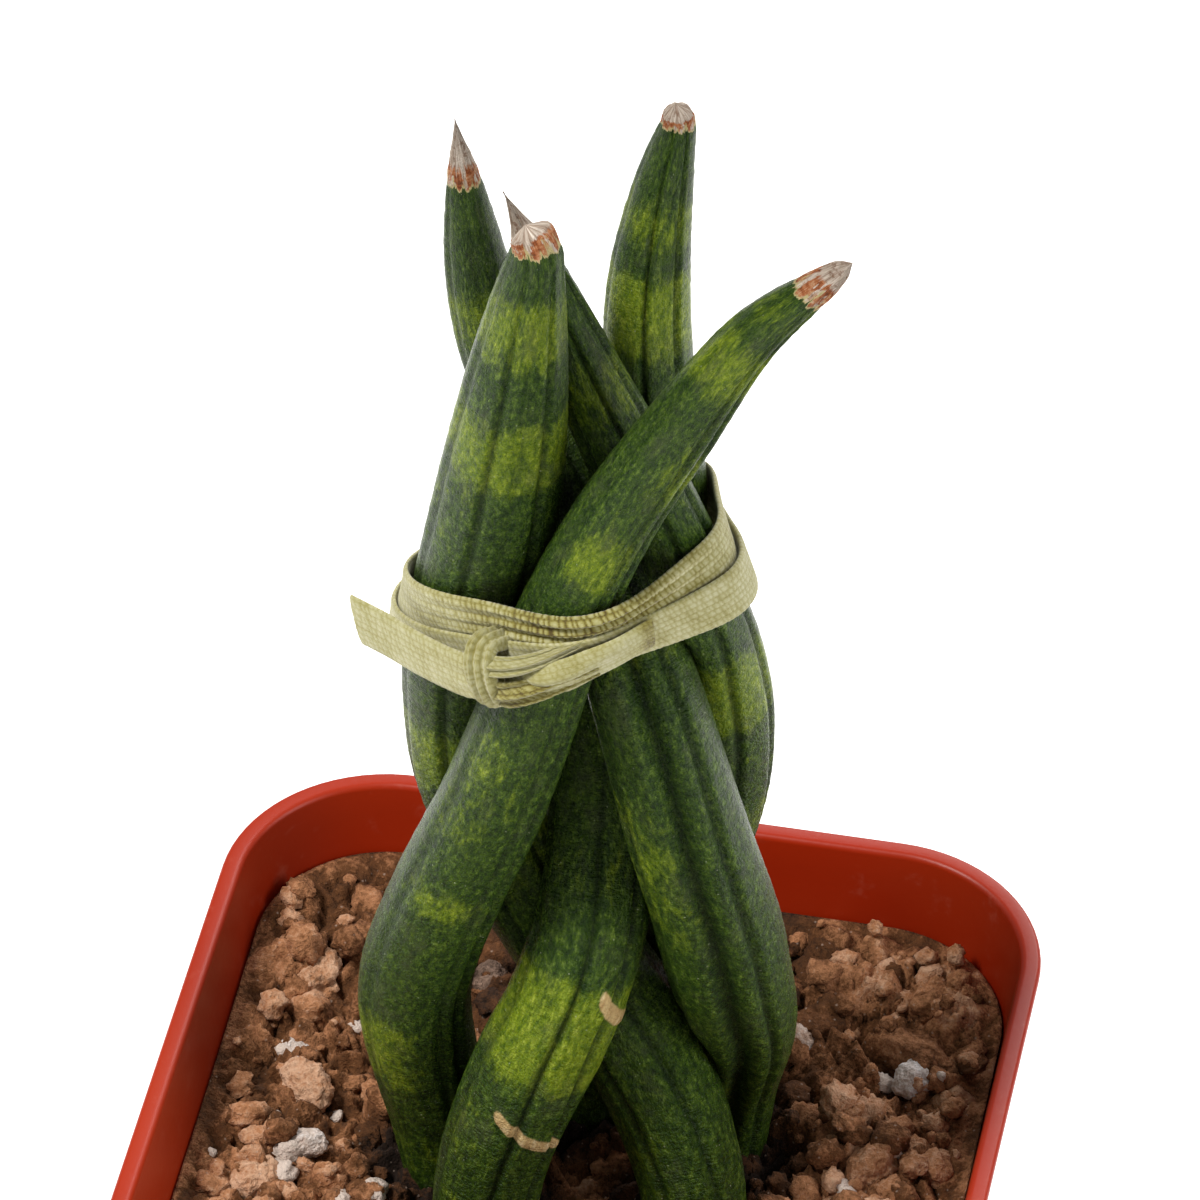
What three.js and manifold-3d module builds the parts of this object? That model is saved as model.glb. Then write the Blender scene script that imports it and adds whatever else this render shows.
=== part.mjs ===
// A braided snake plant (Sansevieria cylindrica) in a small square plastic pot: five round leaves
// plaited together and tied with a woven ribbon, in a coarse bark mix with white perlite.
// Millimetres, +Z up. The origin is at the middle of the pot's underside.

import * as THREE from 'three';
import { mergeVertices } from 'three/addons/utils/BufferGeometryUtils.js';
import Module from 'manifold-3d';

const wasm = await Module();
wasm.setup();

// ---- Driving dimensions -------------------------------------------------------------------------

// Pot: a tapered square with round corners, a collar that stands out, and a rolled lip.
const POT_WIDTH = 80; // outside, across the flats of the lip
const POT_HEIGHT = 70;
const POT_BASE_WIDTH = 57; // outside, across the flats of the underside
const POT_WALL = 1.3;
const POT_FLOOR = 1.8;
const POT_CORNER = 16; // outside corner radius at the lip
const POT_BASE_CORNER = 10;
const COLLAR_HEIGHT = 13;
const COLLAR_STEP = 0.9; // how far the collar stands out from the wall under it
const LIP_HEIGHT = 2.2;
const LIP_STEP = 0.7; // how far the lip stands out from the collar
const FOOT_BEVEL = 1.2; // round edge between the walls and the underside
const HOLE_DIAMETER = 8; // drainage holes in the floor
const HOLE_REACH = 15.4; // from the middle to each of the outer holes, along x and along y

// Potting mix
const SOIL_DROP = 10; // from the lip down to the surface of the mix
const SOIL_ROUGHNESS = 0.8;
const BARK_SIZE = 9; // the longest pieces of bark
const BARK_COUNT = 18;
const PERLITE_SIZE = 6;
const PERLITE_COUNT = 11;
const SUNK_SHARE = 0.4; // how much of a loose lump is sunk in the mix
const LUMP_BREADTH = 0.62; // of a lump's length, at least
const LUMP_DEPTH = 0.5; // of a lump's length, at least
const LUMP_SPREAD = 0.2; // how much those two shares vary
const LUMP_DENT = 0.09; // how far a lump is dented, as a share of its size
const LUMP_TILT = 0.9; // radians, the most that lumps lie aslant to each other
const LUMP_ROOM = 0.6; // share of its length that a lump's middle keeps from the braid and the wall
const SMALLEST_LUMP = 0.75; // of the longest lump's length
const CORNER_REACH = 1.2; // how much further lumps go in the pot's corners than at its sides
const BRAID_REACH = 1.9; // in leaf diameters, round the middle, kept free of loose lumps

// Plant
const PLANT_HEIGHT = 121; // from the surface of the mix to the highest leaf tip
const LEAF_DIAMETER = 11.4; // at the thickest part of a leaf
const PLANT_TURN = 11.4; // degrees that the braid is turned in the square pot
const PLANT_SHIFT = 0.9; // the braid stands this far off the pot's middle

// Ribbon: a flat woven tape that goes twice round the braid and is knotted in front.
const RIBBON_WIDTH = 4.8;
const RIBBON_THICKNESS = 0.7;
const LAP_THICKNESS = 0.56; // how far a second layer of tape stands out over the first
const TIE_LEVEL = 62.4; // hundredths of the plant's height above the mix, where the leaves lie together
const TIE_RISE_RIGHT = 0.22; // climb towards the plant's right ...
const TIE_RISE_BACK = -0.3; // ... and fall towards its back
const WRAP_SPACING = 2.8; // between the middles of the two turns
const TAUT_BAND = 2; // the tape bears on what lies this close to its middle line
const KNOT_ANGLE = -118; // degrees round the braid, seen from above
const KNOT_SIZE = [8.2, 4.6, 6.2]; // along the ribbon, out from the braid, across the ribbon
const KNOT_STAND_OFF = 1.15; // from the lower turn out to the middle of the knot
const LEFT_TAIL_LENGTH = 17;
const RIGHT_TAIL_LENGTH = 15;
const LEFT_TAIL_RISE = 4; // how far the free end turns up
const LEFT_TAIL_INWARD = 1.6; // and back towards the braid
const RIGHT_TAIL_RISE = 1.2;
const RIGHT_TAIL_LIFT = 1; // how far the tail stands off the lower turn at the knot

// Clearance between pieces that touch
const GAP = 0.3;

// Fineness of the round shapes
const LEAF_RINGS = 36;
const LEAF_SIDES = 12;
const CORNER_STEPS = 6;
const TAPE_STEPS = 40;
const MERGE_SIZE = 0.04; // cuts leave no facets smaller than this

const SOIL_TOP = POT_HEIGHT - SOIL_DROP;

// The leaves, each from its root to its tip: x and y in leaf diameters from the middle of the braid
// (x to the plant's right, y to its back), height in hundredths of the plant's height above the
// mix, and girth as a share of the leaf diameter.
const LEAVES = {
  leaf_front: [
    [-1.02, 0.16, -11, 0.70],
    [-1.20, 0.10, 4, 0.82],
    [-1.41, -0.04, 20, 0.93],
    [-1.13, -0.31, 33, 0.90],
    [-0.76, -0.51, 44, 0.87],
    [-0.44, -0.63, 55, 0.81],
    [-0.19, -0.65, 64, 0.74],
    [0.21, -0.70, 74, 0.67],
    [0.75, -0.77, 84, 0.57],
    [1.28, -0.84, 93, 0.42],
    [1.68, -0.88, 97, 0.30],
    [1.98, -0.90, 99.8, 0.14],
  ],
  leaf_left: [
    [0.90, -0.61, -11, 0.74],
    [0.82, -0.53, 6, 0.91],
    [0.42, -0.18, 16, 0.98],
    [-0.27, 0.24, 26, 1.00],
    [-0.87, 0.46, 38, 1.00],
    [-0.98, 0.31, 50, 1.00],
    [-0.83, -0.04, 63, 1.02],
    [-0.66, -0.22, 74, 0.98],
    [-0.53, -0.39, 85, 0.80],
    [-0.41, -0.50, 95, 0.52],
    [-0.34, -0.54, 99.6, 0.32],
  ],
  leaf_right: [
    [1.02, 0.61, -11, 0.74],
    [1.16, 0.44, 6, 0.86],
    [1.24, 0.13, 15, 0.96],
    [1.15, -0.22, 24, 1.00],
    [1.00, -0.44, 33, 1.00],
    [0.78, -0.55, 42, 0.98],
    [0.50, -0.46, 53, 0.91],
    [0.11, 0.13, 63, 0.79],
    [-0.35, 0.66, 71, 0.74],
    [-0.70, 0.79, 79, 0.63],
    [-0.86, 0.81, 87, 0.49],
    [-0.91, 0.79, 92, 0.35],
    [-1.00, 0.79, 100, 0.06],
  ],
  leaf_bottom: [
    [-0.96, -0.79, -11, 0.74],
    [-0.79, -0.70, 7, 0.90],
    [-0.53, -0.70, 16, 0.95],
    [-0.22, -0.61, 23, 0.95],
    [0.02, -0.39, 30, 0.93],
    [0.12, 0.04, 35, 0.92],
    [0.18, 0.40, 42, 0.92],
    [0.28, 0.60, 51, 0.87],
    [0.55, 0.62, 64, 0.79],
    [0.48, 0.66, 75, 0.74],
    [0.48, 0.79, 85, 0.65],
    [0.61, 0.92, 94, 0.44],
    [0.74, 0.96, 100, 0.20],
  ],
  leaf_back: [
    [0.00, 0.96, -11, 0.70],
    [0.09, 0.88, 6, 0.81],
    [0.53, 0.83, 18, 0.84],
    [0.93, 0.70, 30, 0.84],
    [1.08, 0.44, 43, 0.84],
    [1.02, 0.18, 52, 0.82],
    [0.75, -0.13, 64, 0.75],
    [0.48, -0.09, 71, 0.70],
    [0.11, 0.04, 79, 0.61],
    [-0.20, 0.18, 86, 0.49],
    [-0.42, 0.26, 92, 0.30],
    [-0.63, 0.31, 96.8, 0.06],
  ],
};

// ---- Materials ----------------------------------------------------------------------------------

const plastic = () => new THREE.MeshStandardMaterial({ color: 0xb5402a, roughness: 0.45, metalness: 0 });
const mix = () => new THREE.MeshStandardMaterial({ color: 0x6a4433, roughness: 0.95, metalness: 0 });
const bark = () => new THREE.MeshStandardMaterial({ color: 0x8a5a41, roughness: 0.95, metalness: 0 });
const perlite = () => new THREE.MeshStandardMaterial({ color: 0xd8d2cc, roughness: 0.9, metalness: 0 });
const leafSkin = () => new THREE.MeshStandardMaterial({ color: 0x3f6136, roughness: 0.5, metalness: 0 });
const tape = () => new THREE.MeshStandardMaterial({ color: 0xb9b083, roughness: 0.8, metalness: 0 });

// ---- Solids -------------------------------------------------------------------------------------

// A closed skin over a row of rings with equally many points, each ring counterclockwise when seen
// from the last one. A closed row runs on from its last ring to its first; an open one gets end caps.
function loft(rings, closed = false) {
  const sides = rings[0].length;
  const points = rings.flat();
  const faces = [];
  const spans = closed ? rings.length : rings.length - 1;
  for (let r = 0; r < spans; r += 1) {
    const next = (r + 1) % rings.length;
    for (let k = 0; k < sides; k += 1) {
      const here = r * sides + k;
      const beside = r * sides + ((k + 1) % sides);
      const above = next * sides + k;
      const aboveBeside = next * sides + ((k + 1) % sides);
      faces.push(here, beside, above, beside, aboveBeside, above);
    }
  }
  if (!closed) {
    const first = points.push(middleOf(rings[0])) - 1;
    const last = points.push(middleOf(rings[rings.length - 1])) - 1;
    const lastRing = (rings.length - 1) * sides;
    for (let k = 0; k < sides; k += 1) {
      const beside = (k + 1) % sides;
      faces.push(first, beside, k, last, lastRing + k, lastRing + beside);
    }
  }
  const geometry = new THREE.BufferGeometry().setFromPoints(points);
  geometry.setIndex(faces);
  return geometry;
}

function middleOf(ring) {
  const sum = ring.reduce((total, point) => total.add(point), new THREE.Vector3());
  return sum.divideScalar(ring.length);
}

function toSolid(geometry) {
  const bare = geometry.clone();
  bare.deleteAttribute('normal');
  bare.deleteAttribute('uv');
  const merged = mergeVertices(bare, 1e-4);
  const vertProperties = new Float32Array(merged.attributes.position.array);
  const triVerts = new Uint32Array(merged.index.array);
  return new wasm.Manifold(new wasm.Mesh({ numProp: 3, vertProperties, triVerts }));
}

function toGeometry(solid) {
  const mesh = solid.getMesh();
  const geometry = new THREE.BufferGeometry();
  geometry.setAttribute('position', new THREE.BufferAttribute(mesh.vertProperties, 3));
  geometry.setIndex(new THREE.BufferAttribute(mesh.triVerts, 1));
  geometry.computeVertexNormals();
  return geometry;
}

// The largest piece of a solid that a cut may have left with crumbs and slivers.
function mainPiece(solid) {
  const pieces = solid.decompose();
  const main = pieces.reduce((best, piece) => (piece.volume() > best.volume() ? piece : best));
  return main.simplify(MERGE_SIZE);
}

// ---- Pot ----------------------------------------------------------------------------------------

// One level of a tapered square with round corners, counterclockwise from above.
function squareRing(width, corner, z) {
  const reach = width / 2 - corner;
  const ring = [];
  for (let quarter = 0; quarter < 4; quarter += 1) {
    const start = (quarter * Math.PI) / 2;
    const sx = quarter === 0 || quarter === 3 ? 1 : -1;
    const sy = quarter < 2 ? 1 : -1;
    for (let step = 0; step <= CORNER_STEPS; step += 1) {
      const angle = start + (step / CORNER_STEPS) * (Math.PI / 2);
      ring.push(new THREE.Vector3(
        sx * reach + corner * Math.cos(angle),
        sy * reach + corner * Math.sin(angle),
        z,
      ));
    }
  }
  return ring;
}

// The wall's outside at a height, before the collar and the lip are added to it.
function wallWidth(z) {
  const plainTop = POT_WIDTH - 2 * (COLLAR_STEP + LIP_STEP);
  return THREE.MathUtils.lerp(POT_BASE_WIDTH, plainTop, z / POT_HEIGHT);
}

function wallCorner(z) {
  const plainTop = POT_CORNER - COLLAR_STEP - LIP_STEP;
  return THREE.MathUtils.lerp(POT_BASE_CORNER, plainTop, z / POT_HEIGHT);
}

function wallRing(z, out) {
  return squareRing(wallWidth(z) + 2 * out, wallCorner(z) + out, z);
}

function buildPot() {
  const collar = POT_HEIGHT - COLLAR_HEIGHT;
  const lip = POT_HEIGHT - LIP_HEIGHT;
  const standOut = COLLAR_STEP + LIP_STEP;
  const outside = loft([
    wallRing(0, -FOOT_BEVEL),
    wallRing(FOOT_BEVEL, 0),
    wallRing(collar, 0),
    wallRing(collar + COLLAR_STEP, COLLAR_STEP),
    wallRing(lip, COLLAR_STEP),
    wallRing(lip + LIP_STEP / 2, standOut),
    wallRing(POT_HEIGHT - LIP_STEP / 2, standOut),
    wallRing(POT_HEIGHT, standOut - LIP_STEP / 2),
  ]);
  const inside = loft([
    wallRing(POT_FLOOR, -POT_WALL - FOOT_BEVEL),
    wallRing(POT_FLOOR + FOOT_BEVEL, -POT_WALL),
    wallRing(collar, -POT_WALL),
    wallRing(collar + 2 * COLLAR_STEP, COLLAR_STEP - POT_WALL),
    wallRing(POT_HEIGHT + 1, COLLAR_STEP - POT_WALL),
  ]);
  let pot = toSolid(outside).subtract(toSolid(inside));
  const places = [[0, 0], [1, 1], [-1, 1], [-1, -1], [1, -1]];
  for (const [x, y] of places) {
    const drill = new THREE.CylinderGeometry(HOLE_DIAMETER / 2, HOLE_DIAMETER / 2, 4 * POT_FLOOR, 20);
    drill.rotateX(Math.PI / 2);
    drill.translate(x * HOLE_REACH, y * HOLE_REACH, POT_FLOOR / 2);
    pot = pot.subtract(toSolid(drill));
  }
  return pot;
}

// ---- Leaves -------------------------------------------------------------------------------------

function leafShape(rows) {
  const points = rows.map(([x, y, height]) => new THREE.Vector3(
    x * LEAF_DIAMETER,
    y * LEAF_DIAMETER,
    SOIL_TOP + (height / 100) * PLANT_HEIGHT,
  ));
  const turn = THREE.MathUtils.degToRad(PLANT_TURN);
  const upright = new THREE.Vector3(0, 0, 1);
  for (const point of points) {
    point.applyAxisAngle(upright, turn);
    point.x += PLANT_SHIFT * Math.cos(turn);
    point.y += PLANT_SHIFT * Math.sin(turn);
  }
  const course = new THREE.CatmullRomCurve3(points);
  const girths = new THREE.CatmullRomCurve3(rows.map((row) => new THREE.Vector3(row[3], 0, 0)));
  return { course, girths };
}

// A leaf's skin, swept along its course; extra makes it stand out by a clearance.
function leafSkinRings({ course, girths }, extra) {
  const frames = course.computeFrenetFrames(LEAF_RINGS, false);
  const rings = [];
  for (let step = 0; step <= LEAF_RINGS; step += 1) {
    const t = course.getUtoTmapping(step / LEAF_RINGS);
    const centre = course.getPoint(t);
    const radius = (Math.max(girths.getPoint(t).x, 0.04) * LEAF_DIAMETER) / 2 + extra;
    const ring = [];
    for (let side = 0; side < LEAF_SIDES; side += 1) {
      const angle = (side / LEAF_SIDES) * 2 * Math.PI;
      ring.push(centre.clone()
        .addScaledVector(frames.normals[step], radius * Math.cos(angle))
        .addScaledVector(frames.binormals[step], radius * Math.sin(angle)));
    }
    rings.push(ring);
  }
  return rings;
}

// Leaves press on each other where they cross: a later leaf gives way to the ones before it.
function buildLeaves() {
  const leaves = [];
  for (const [name, rows] of Object.entries(LEAVES)) {
    const shape = leafShape(rows);
    const rings = leafSkinRings(shape, 0);
    let solid = toSolid(loft(rings));
    for (const earlier of leaves) {
      solid = solid.subtract(earlier.swollen);
    }
    const swollen = toSolid(loft(leafSkinRings(shape, GAP)));
    leaves.push({ name, rings, swollen, solid: mainPiece(solid) });
  }
  return leaves;
}

// ---- Ribbon -------------------------------------------------------------------------------------

// The plane of the tie, as seen from the plant's own right and back.
function tiePlane() {
  const turn = THREE.MathUtils.degToRad(PLANT_TURN);
  const upright = new THREE.Vector3(0, 0, 1);
  const right = new THREE.Vector3(1, 0, TIE_RISE_RIGHT).applyAxisAngle(upright, turn).normalize();
  const back = new THREE.Vector3(0, 1, TIE_RISE_BACK).applyAxisAngle(upright, turn).normalize();
  const up = right.clone().cross(back).normalize();
  const centre = new THREE.Vector3(
    PLANT_SHIFT * Math.cos(turn),
    PLANT_SHIFT * Math.sin(turn),
    SOIL_TOP + (TIE_LEVEL / 100) * PLANT_HEIGHT,
  );
  return { centre, right, up, back: up.clone().cross(right) };
}

// How far a taut tape runs from the middle of the tie, at an angle: it bridges from leaf to leaf, so
// it is the nearest of the straight lines that just clear every leaf.
function tautRadius(spots, angle) {
  const directions = 72;
  let nearest = Infinity;
  for (let k = 0; k < directions; k += 1) {
    const facing = (k / directions) * 2 * Math.PI;
    const share = Math.cos(facing - angle);
    if (share > 0.2) {
      const clear = Math.max(...spots.map(([a, b]) => a * Math.cos(facing) + b * Math.sin(facing)));
      nearest = Math.min(nearest, clear / share);
    }
  }
  return nearest;
}

// A turn of tape: a closed course round the leaves, at a height in the tie's own frame.
function tapeCourse(plane, leaves, level, out) {
  const { centre, right, back, up } = plane;
  const spots = [];
  for (const ring of leaves.flatMap((leaf) => leaf.rings)) {
    for (const point of ring) {
      const offset = point.clone().sub(centre);
      if (Math.abs(offset.dot(up) - level) < TAUT_BAND) {
        spots.push([offset.dot(right), offset.dot(back)]);
      }
    }
  }
  const points = [];
  for (let step = 0; step < TAPE_STEPS; step += 1) {
    const angle = (step / TAPE_STEPS) * 2 * Math.PI;
    const radius = tautRadius(spots, angle) + out;
    points.push(centre.clone()
      .addScaledVector(right, radius * Math.cos(angle))
      .addScaledVector(back, radius * Math.sin(angle))
      .addScaledVector(up, level));
  }
  return new THREE.CatmullRomCurve3(points, true);
}

// The four corners of the tape at a point: outward and across are the tape's own directions.
function tapeRing(centre, outward, across, width, thickness) {
  const corners = [[-1, -1], [-1, 1], [1, 1], [1, -1]];
  return corners.map(([out, over]) => centre.clone()
    .addScaledVector(outward, (out * thickness) / 2)
    .addScaledVector(across, (over * width) / 2));
}

function wrapSolid(course, plane) {
  const rings = [];
  for (let step = 0; step < TAPE_STEPS; step += 1) {
    const t = step / TAPE_STEPS;
    const along = course.getTangent(t);
    const outward = along.clone().cross(plane.up).normalize();
    rings.push(tapeRing(course.getPoint(t), outward, plane.up, RIBBON_WIDTH, RIBBON_THICKNESS));
  }
  return toSolid(loft(rings, true));
}

// A free end of the tape, from the knot along a gentle curve.
function tailSolid(points, across) {
  const course = new THREE.CatmullRomCurve3(points);
  const steps = 8;
  const rings = [];
  for (let step = 0; step <= steps; step += 1) {
    const along = course.getTangentAt(step / steps);
    const outward = along.clone().cross(across).normalize();
    const over = outward.clone().cross(along).normalize();
    rings.push(tapeRing(course.getPointAt(step / steps), outward, over, RIBBON_WIDTH, RIBBON_THICKNESS));
  }
  return toSolid(loft(rings));
}

function buildRibbon(leaves) {
  const plane = tiePlane();
  const clear = GAP + RIBBON_THICKNESS / 2;
  const upper = tapeCourse(plane, leaves, WRAP_SPACING / 2, clear);
  const lower = tapeCourse(plane, leaves, -WRAP_SPACING / 2, clear + LAP_THICKNESS);
  let ribbon = wrapSolid(upper, plane).add(wrapSolid(lower, plane));

  const t = THREE.MathUtils.euclideanModulo(KNOT_ANGLE, 360) / 360;
  const onTape = lower.getPoint(t);
  const along = lower.getTangent(t);
  const outward = along.clone().cross(plane.up).normalize();
  const knotPlace = onTape.clone().addScaledVector(outward, KNOT_STAND_OFF);
  const knot = new THREE.SphereGeometry(0.5, 14, 10);
  knot.scale(...KNOT_SIZE);
  knot.applyMatrix4(new THREE.Matrix4().makeBasis(along, outward.clone().negate(), plane.up));
  knot.translate(knotPlace.x, knotPlace.y, knotPlace.z);
  ribbon = ribbon.add(toSolid(knot));

  const shares = [0, 0.25, 0.5, 0.75, 1];
  const leftTail = shares.map((share) => knotPlace.clone()
    .addScaledVector(along, -share * LEFT_TAIL_LENGTH)
    .addScaledVector(outward, -share * LEFT_TAIL_INWARD)
    .addScaledVector(plane.up, share * share * LEFT_TAIL_RISE));
  ribbon = ribbon.add(tailSolid(leftTail, plane.up));
  const tapeLength = lower.getLength();
  const rightTail = shares.map((share) => {
    const spot = t + (share * RIGHT_TAIL_LENGTH) / tapeLength;
    const facing = lower.getTangent(spot).cross(plane.up).normalize();
    return lower.getPoint(spot)
      .addScaledVector(facing, LAP_THICKNESS + (1 - share) * RIGHT_TAIL_LIFT)
      .addScaledVector(plane.up, share * RIGHT_TAIL_RISE);
  });
  ribbon = ribbon.add(tailSolid(rightTail, plane.up));

  for (const leaf of leaves) {
    ribbon = ribbon.subtract(leaf.swollen);
  }
  return mainPiece(ribbon);
}

// ---- Potting mix --------------------------------------------------------------------------------

// The uneven surface of the mix.
function surfaceHeight(x, y) {
  const waves = Math.sin(x * 0.41 + 1.3) * Math.cos(y * 0.37 - 0.6) + Math.sin((x + y) * 0.83) * 0.5;
  return SOIL_TOP + SOIL_ROUGHNESS * waves;
}

function buildSoil(leaves) {
  const inset = -POT_WALL - GAP;
  const shoulder = POT_HEIGHT - COLLAR_HEIGHT;
  const rings = [
    wallRing(POT_FLOOR + GAP, inset - FOOT_BEVEL),
    wallRing(POT_FLOOR + FOOT_BEVEL + GAP, inset),
  ];
  if (shoulder < SOIL_TOP - SOIL_ROUGHNESS * 2) {
    rings.push(wallRing(shoulder, inset));
  }
  const edge = wallRing(SOIL_TOP - SOIL_ROUGHNESS * 2, inset);
  for (const share of [1, 0.86, 0.7, 0.54, 0.38, 0.22, 0.08]) {
    rings.push(edge.map((point) => {
      const x = point.x * share;
      const y = point.y * share;
      return new THREE.Vector3(x, y, surfaceHeight(x, y));
    }));
  }
  let soil = toSolid(loft(rings));
  for (const leaf of leaves) {
    soil = soil.subtract(leaf.swollen);
  }
  return soil;
}

// Small repeatable variations: the same number for the same seed, from 0 to 1.
function vary(seed) {
  const wave = Math.sin(seed * 12.9898) * 43758.5453;
  return wave - Math.floor(wave);
}

// A rough lump: a many-sided ball pulled out of round.
function lumpGeometry(length, seed, swell) {
  const lump = new THREE.IcosahedronGeometry(1, 1);
  const skin = lump.attributes.position;
  const point = new THREE.Vector3();
  const half = length / 2;
  const breadth = LUMP_BREADTH + LUMP_SPREAD * vary(seed + 1);
  const depth = LUMP_DEPTH + LUMP_SPREAD * vary(seed + 2);
  for (let k = 0; k < skin.count; k += 1) {
    point.fromBufferAttribute(skin, k);
    const dents = Math.sin(point.x * 3.1 + seed) * Math.cos(point.y * 2.7 - seed) + Math.sin(point.z * 4.1);
    point.multiplyScalar(1 - LUMP_DENT * (1 + dents / 2));
    skin.setXYZ(k, point.x, point.y * breadth, point.z * depth);
  }
  lump.scale(half + swell, half + swell, half + swell);
  lump.rotateX((vary(seed + 3) - 0.5) * LUMP_TILT);
  lump.rotateZ(vary(seed + 4) * 2 * Math.PI);
  return lump;
}

// Loose lumps lie in a band on the mix, half way between the braid and the wall.
function lumpPlaces(count, length, firstSeed, startAngle, bandShift) {
  const wallReach = wallWidth(SOIL_TOP) / 2 - POT_WALL - GAP;
  const places = [];
  for (let k = 0; k < count; k += 1) {
    const seed = firstSeed + 10 * k;
    const angle = startAngle + ((k + 0.5 * (vary(seed) - 0.5)) / count) * 2 * Math.PI;
    const cornered = Math.max(Math.abs(Math.cos(angle)), Math.abs(Math.sin(angle)));
    const outer = Math.min(wallReach / cornered, wallReach * CORNER_REACH) - length * LUMP_ROOM;
    const inner = Math.min(BRAID_REACH * LEAF_DIAMETER + length * LUMP_ROOM, outer);
    const reach = THREE.MathUtils.lerp(inner, outer, bandShift(k));
    const x = reach * Math.cos(angle);
    const y = reach * Math.sin(angle);
    places.push({ seed, length: THREE.MathUtils.lerp(SMALLEST_LUMP, 1, vary(seed + 5)) * length, x, y });
  }
  return places;
}

// Each lump sits in its own hollow in the mix and gives way to what was placed before it.
function buildLumps(name, places, blocked) {
  const lumps = [];
  for (const [k, { seed, length, x, y }] of places.entries()) {
    const z = surfaceHeight(x, y) + length * 0.5 * (0.55 - SUNK_SHARE);
    let solid = toSolid(lumpGeometry(length, seed, 0).translate(x, y, z));
    for (const other of blocked) {
      solid = solid.subtract(other);
    }
    if (solid.volume() > 1) {
      lumps.push({ name: `${name}_${String(k + 1).padStart(2, '0')}`, solid: mainPiece(solid) });
      blocked.push(toSolid(lumpGeometry(length, seed, GAP).translate(x, y, z)));
    }
  }
  return lumps;
}

// ---- The whole plant ----------------------------------------------------------------------------

const group = new THREE.Group();

function place(name, solid, material) {
  const mesh = new THREE.Mesh(toGeometry(solid), material);
  mesh.name = name;
  group.add(mesh);
}

const leaves = buildLeaves();
const blocked = leaves.map((leaf) => leaf.swollen);
const leafCount = blocked.length;
const barkPlaces = lumpPlaces(BARK_COUNT, BARK_SIZE, 3, 0.2, (k) => (k % 2 ? 0.85 : 0.25));
const barkLumps = buildLumps('bark', barkPlaces, blocked);
const perlitePlaces = lumpPlaces(PERLITE_COUNT, PERLITE_SIZE, 207, 0.42, (k) => (k % 2 ? 0.1 : 0.7));
const perliteLumps = buildLumps('perlite', perlitePlaces, blocked);

let soil = buildSoil(leaves);
for (const hollow of blocked.slice(leafCount)) {
  soil = soil.subtract(hollow);
}

place('pot', buildPot(), plastic());
place('potting_mix', mainPiece(soil), mix());
for (const leaf of leaves) {
  place(leaf.name, leaf.solid, leafSkin());
}
place('ribbon_tie', buildRibbon(leaves), tape());
for (const lump of barkLumps) {
  place(lump.name, lump.solid, bark());
}
for (const lump of perliteLumps) {
  place(lump.name, lump.solid, perlite());
}

export default group;
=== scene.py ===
"""Looks for a small braided snake plant in a square plastic pot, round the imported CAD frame.

Blender 4.5, metres, +Z up. The leaves and loose lumps are measured on the frame's own nodes. The pot,
the mix and the ribbon are built anew in their nodes' places, from sizes that the CAD has too.
"""

import math
import random

import bmesh
import bpy
import numpy as np
from mathutils import Euler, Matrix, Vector
from mathutils.bvhtree import BVHTree
from mathutils.noise import fractal, noise, turbulence, voronoi


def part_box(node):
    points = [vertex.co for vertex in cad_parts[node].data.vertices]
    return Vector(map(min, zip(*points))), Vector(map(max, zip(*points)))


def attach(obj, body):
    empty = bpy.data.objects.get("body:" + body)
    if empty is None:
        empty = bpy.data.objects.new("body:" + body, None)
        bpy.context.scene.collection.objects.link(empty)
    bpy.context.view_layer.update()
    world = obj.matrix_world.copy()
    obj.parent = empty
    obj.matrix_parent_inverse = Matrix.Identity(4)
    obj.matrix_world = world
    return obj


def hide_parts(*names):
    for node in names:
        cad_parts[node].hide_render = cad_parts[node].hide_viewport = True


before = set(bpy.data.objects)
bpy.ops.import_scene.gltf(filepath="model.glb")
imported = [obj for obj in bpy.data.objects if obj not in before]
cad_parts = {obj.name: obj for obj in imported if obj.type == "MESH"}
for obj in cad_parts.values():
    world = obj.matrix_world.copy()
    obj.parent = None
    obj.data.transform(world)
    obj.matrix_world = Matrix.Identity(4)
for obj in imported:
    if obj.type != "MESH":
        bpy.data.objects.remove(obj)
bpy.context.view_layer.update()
ROOT = "root"
MM = 0.001

# ---- Small tools ----


def add_object(name, data):
    thing = bpy.data.objects.new(name, data)
    bpy.context.scene.collection.objects.link(thing)
    return thing


def turn_towards(thing, way):
    """Points a light or a camera along way."""
    thing.rotation_euler = way.to_track_quat("-Z", "Y").to_euler()


def new_piece(name, vertices, faces, material, replaced):
    """A smooth-shaded mesh object that rides on the one body."""
    mesh = bpy.data.meshes.new(name)
    mesh.from_pydata([tuple(v) for v in vertices], [], faces)
    mesh.validate()
    mesh.polygons.foreach_set("use_smooth", [True] * len(mesh.polygons))
    mesh.update()
    piece = add_object(name, mesh)
    mesh.materials.append(material)
    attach(piece, ROOT)
    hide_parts(*replaced)
    return piece


def set_attribute(piece, name, values):
    """A number, or a row of three, for each of a piece's points."""
    values = np.asarray(values, np.float32)
    kind, key = ("FLOAT_VECTOR", "vector") if values.ndim == 2 else ("FLOAT", "value")
    attribute = piece.data.attributes.new(name, kind, "POINT")
    attribute.data.foreach_set(key, values.ravel())


def grid_faces(rows, columns, start=0):
    """Quads of a tube: rows of points, each row a closed ring."""
    here = start + np.arange(rows * columns).reshape(rows, columns)
    beside = np.roll(here, -1, 1)
    return np.stack([here[:-1], beside[:-1], beside[1:], here[1:]], 2).reshape(-1, 4).tolist()


def closed_faces(rows, columns):
    """A tube's quads, and fans that close it to the two points that come after the tube's own."""
    faces = grid_faces(rows, columns)
    low, high, last = rows * columns, rows * columns + 1, (rows - 1) * columns
    for c in range(columns):
        beside = (c + 1) % columns
        faces += [(low, beside, c), (high, last + c, last + beside)]
    return faces


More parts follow.
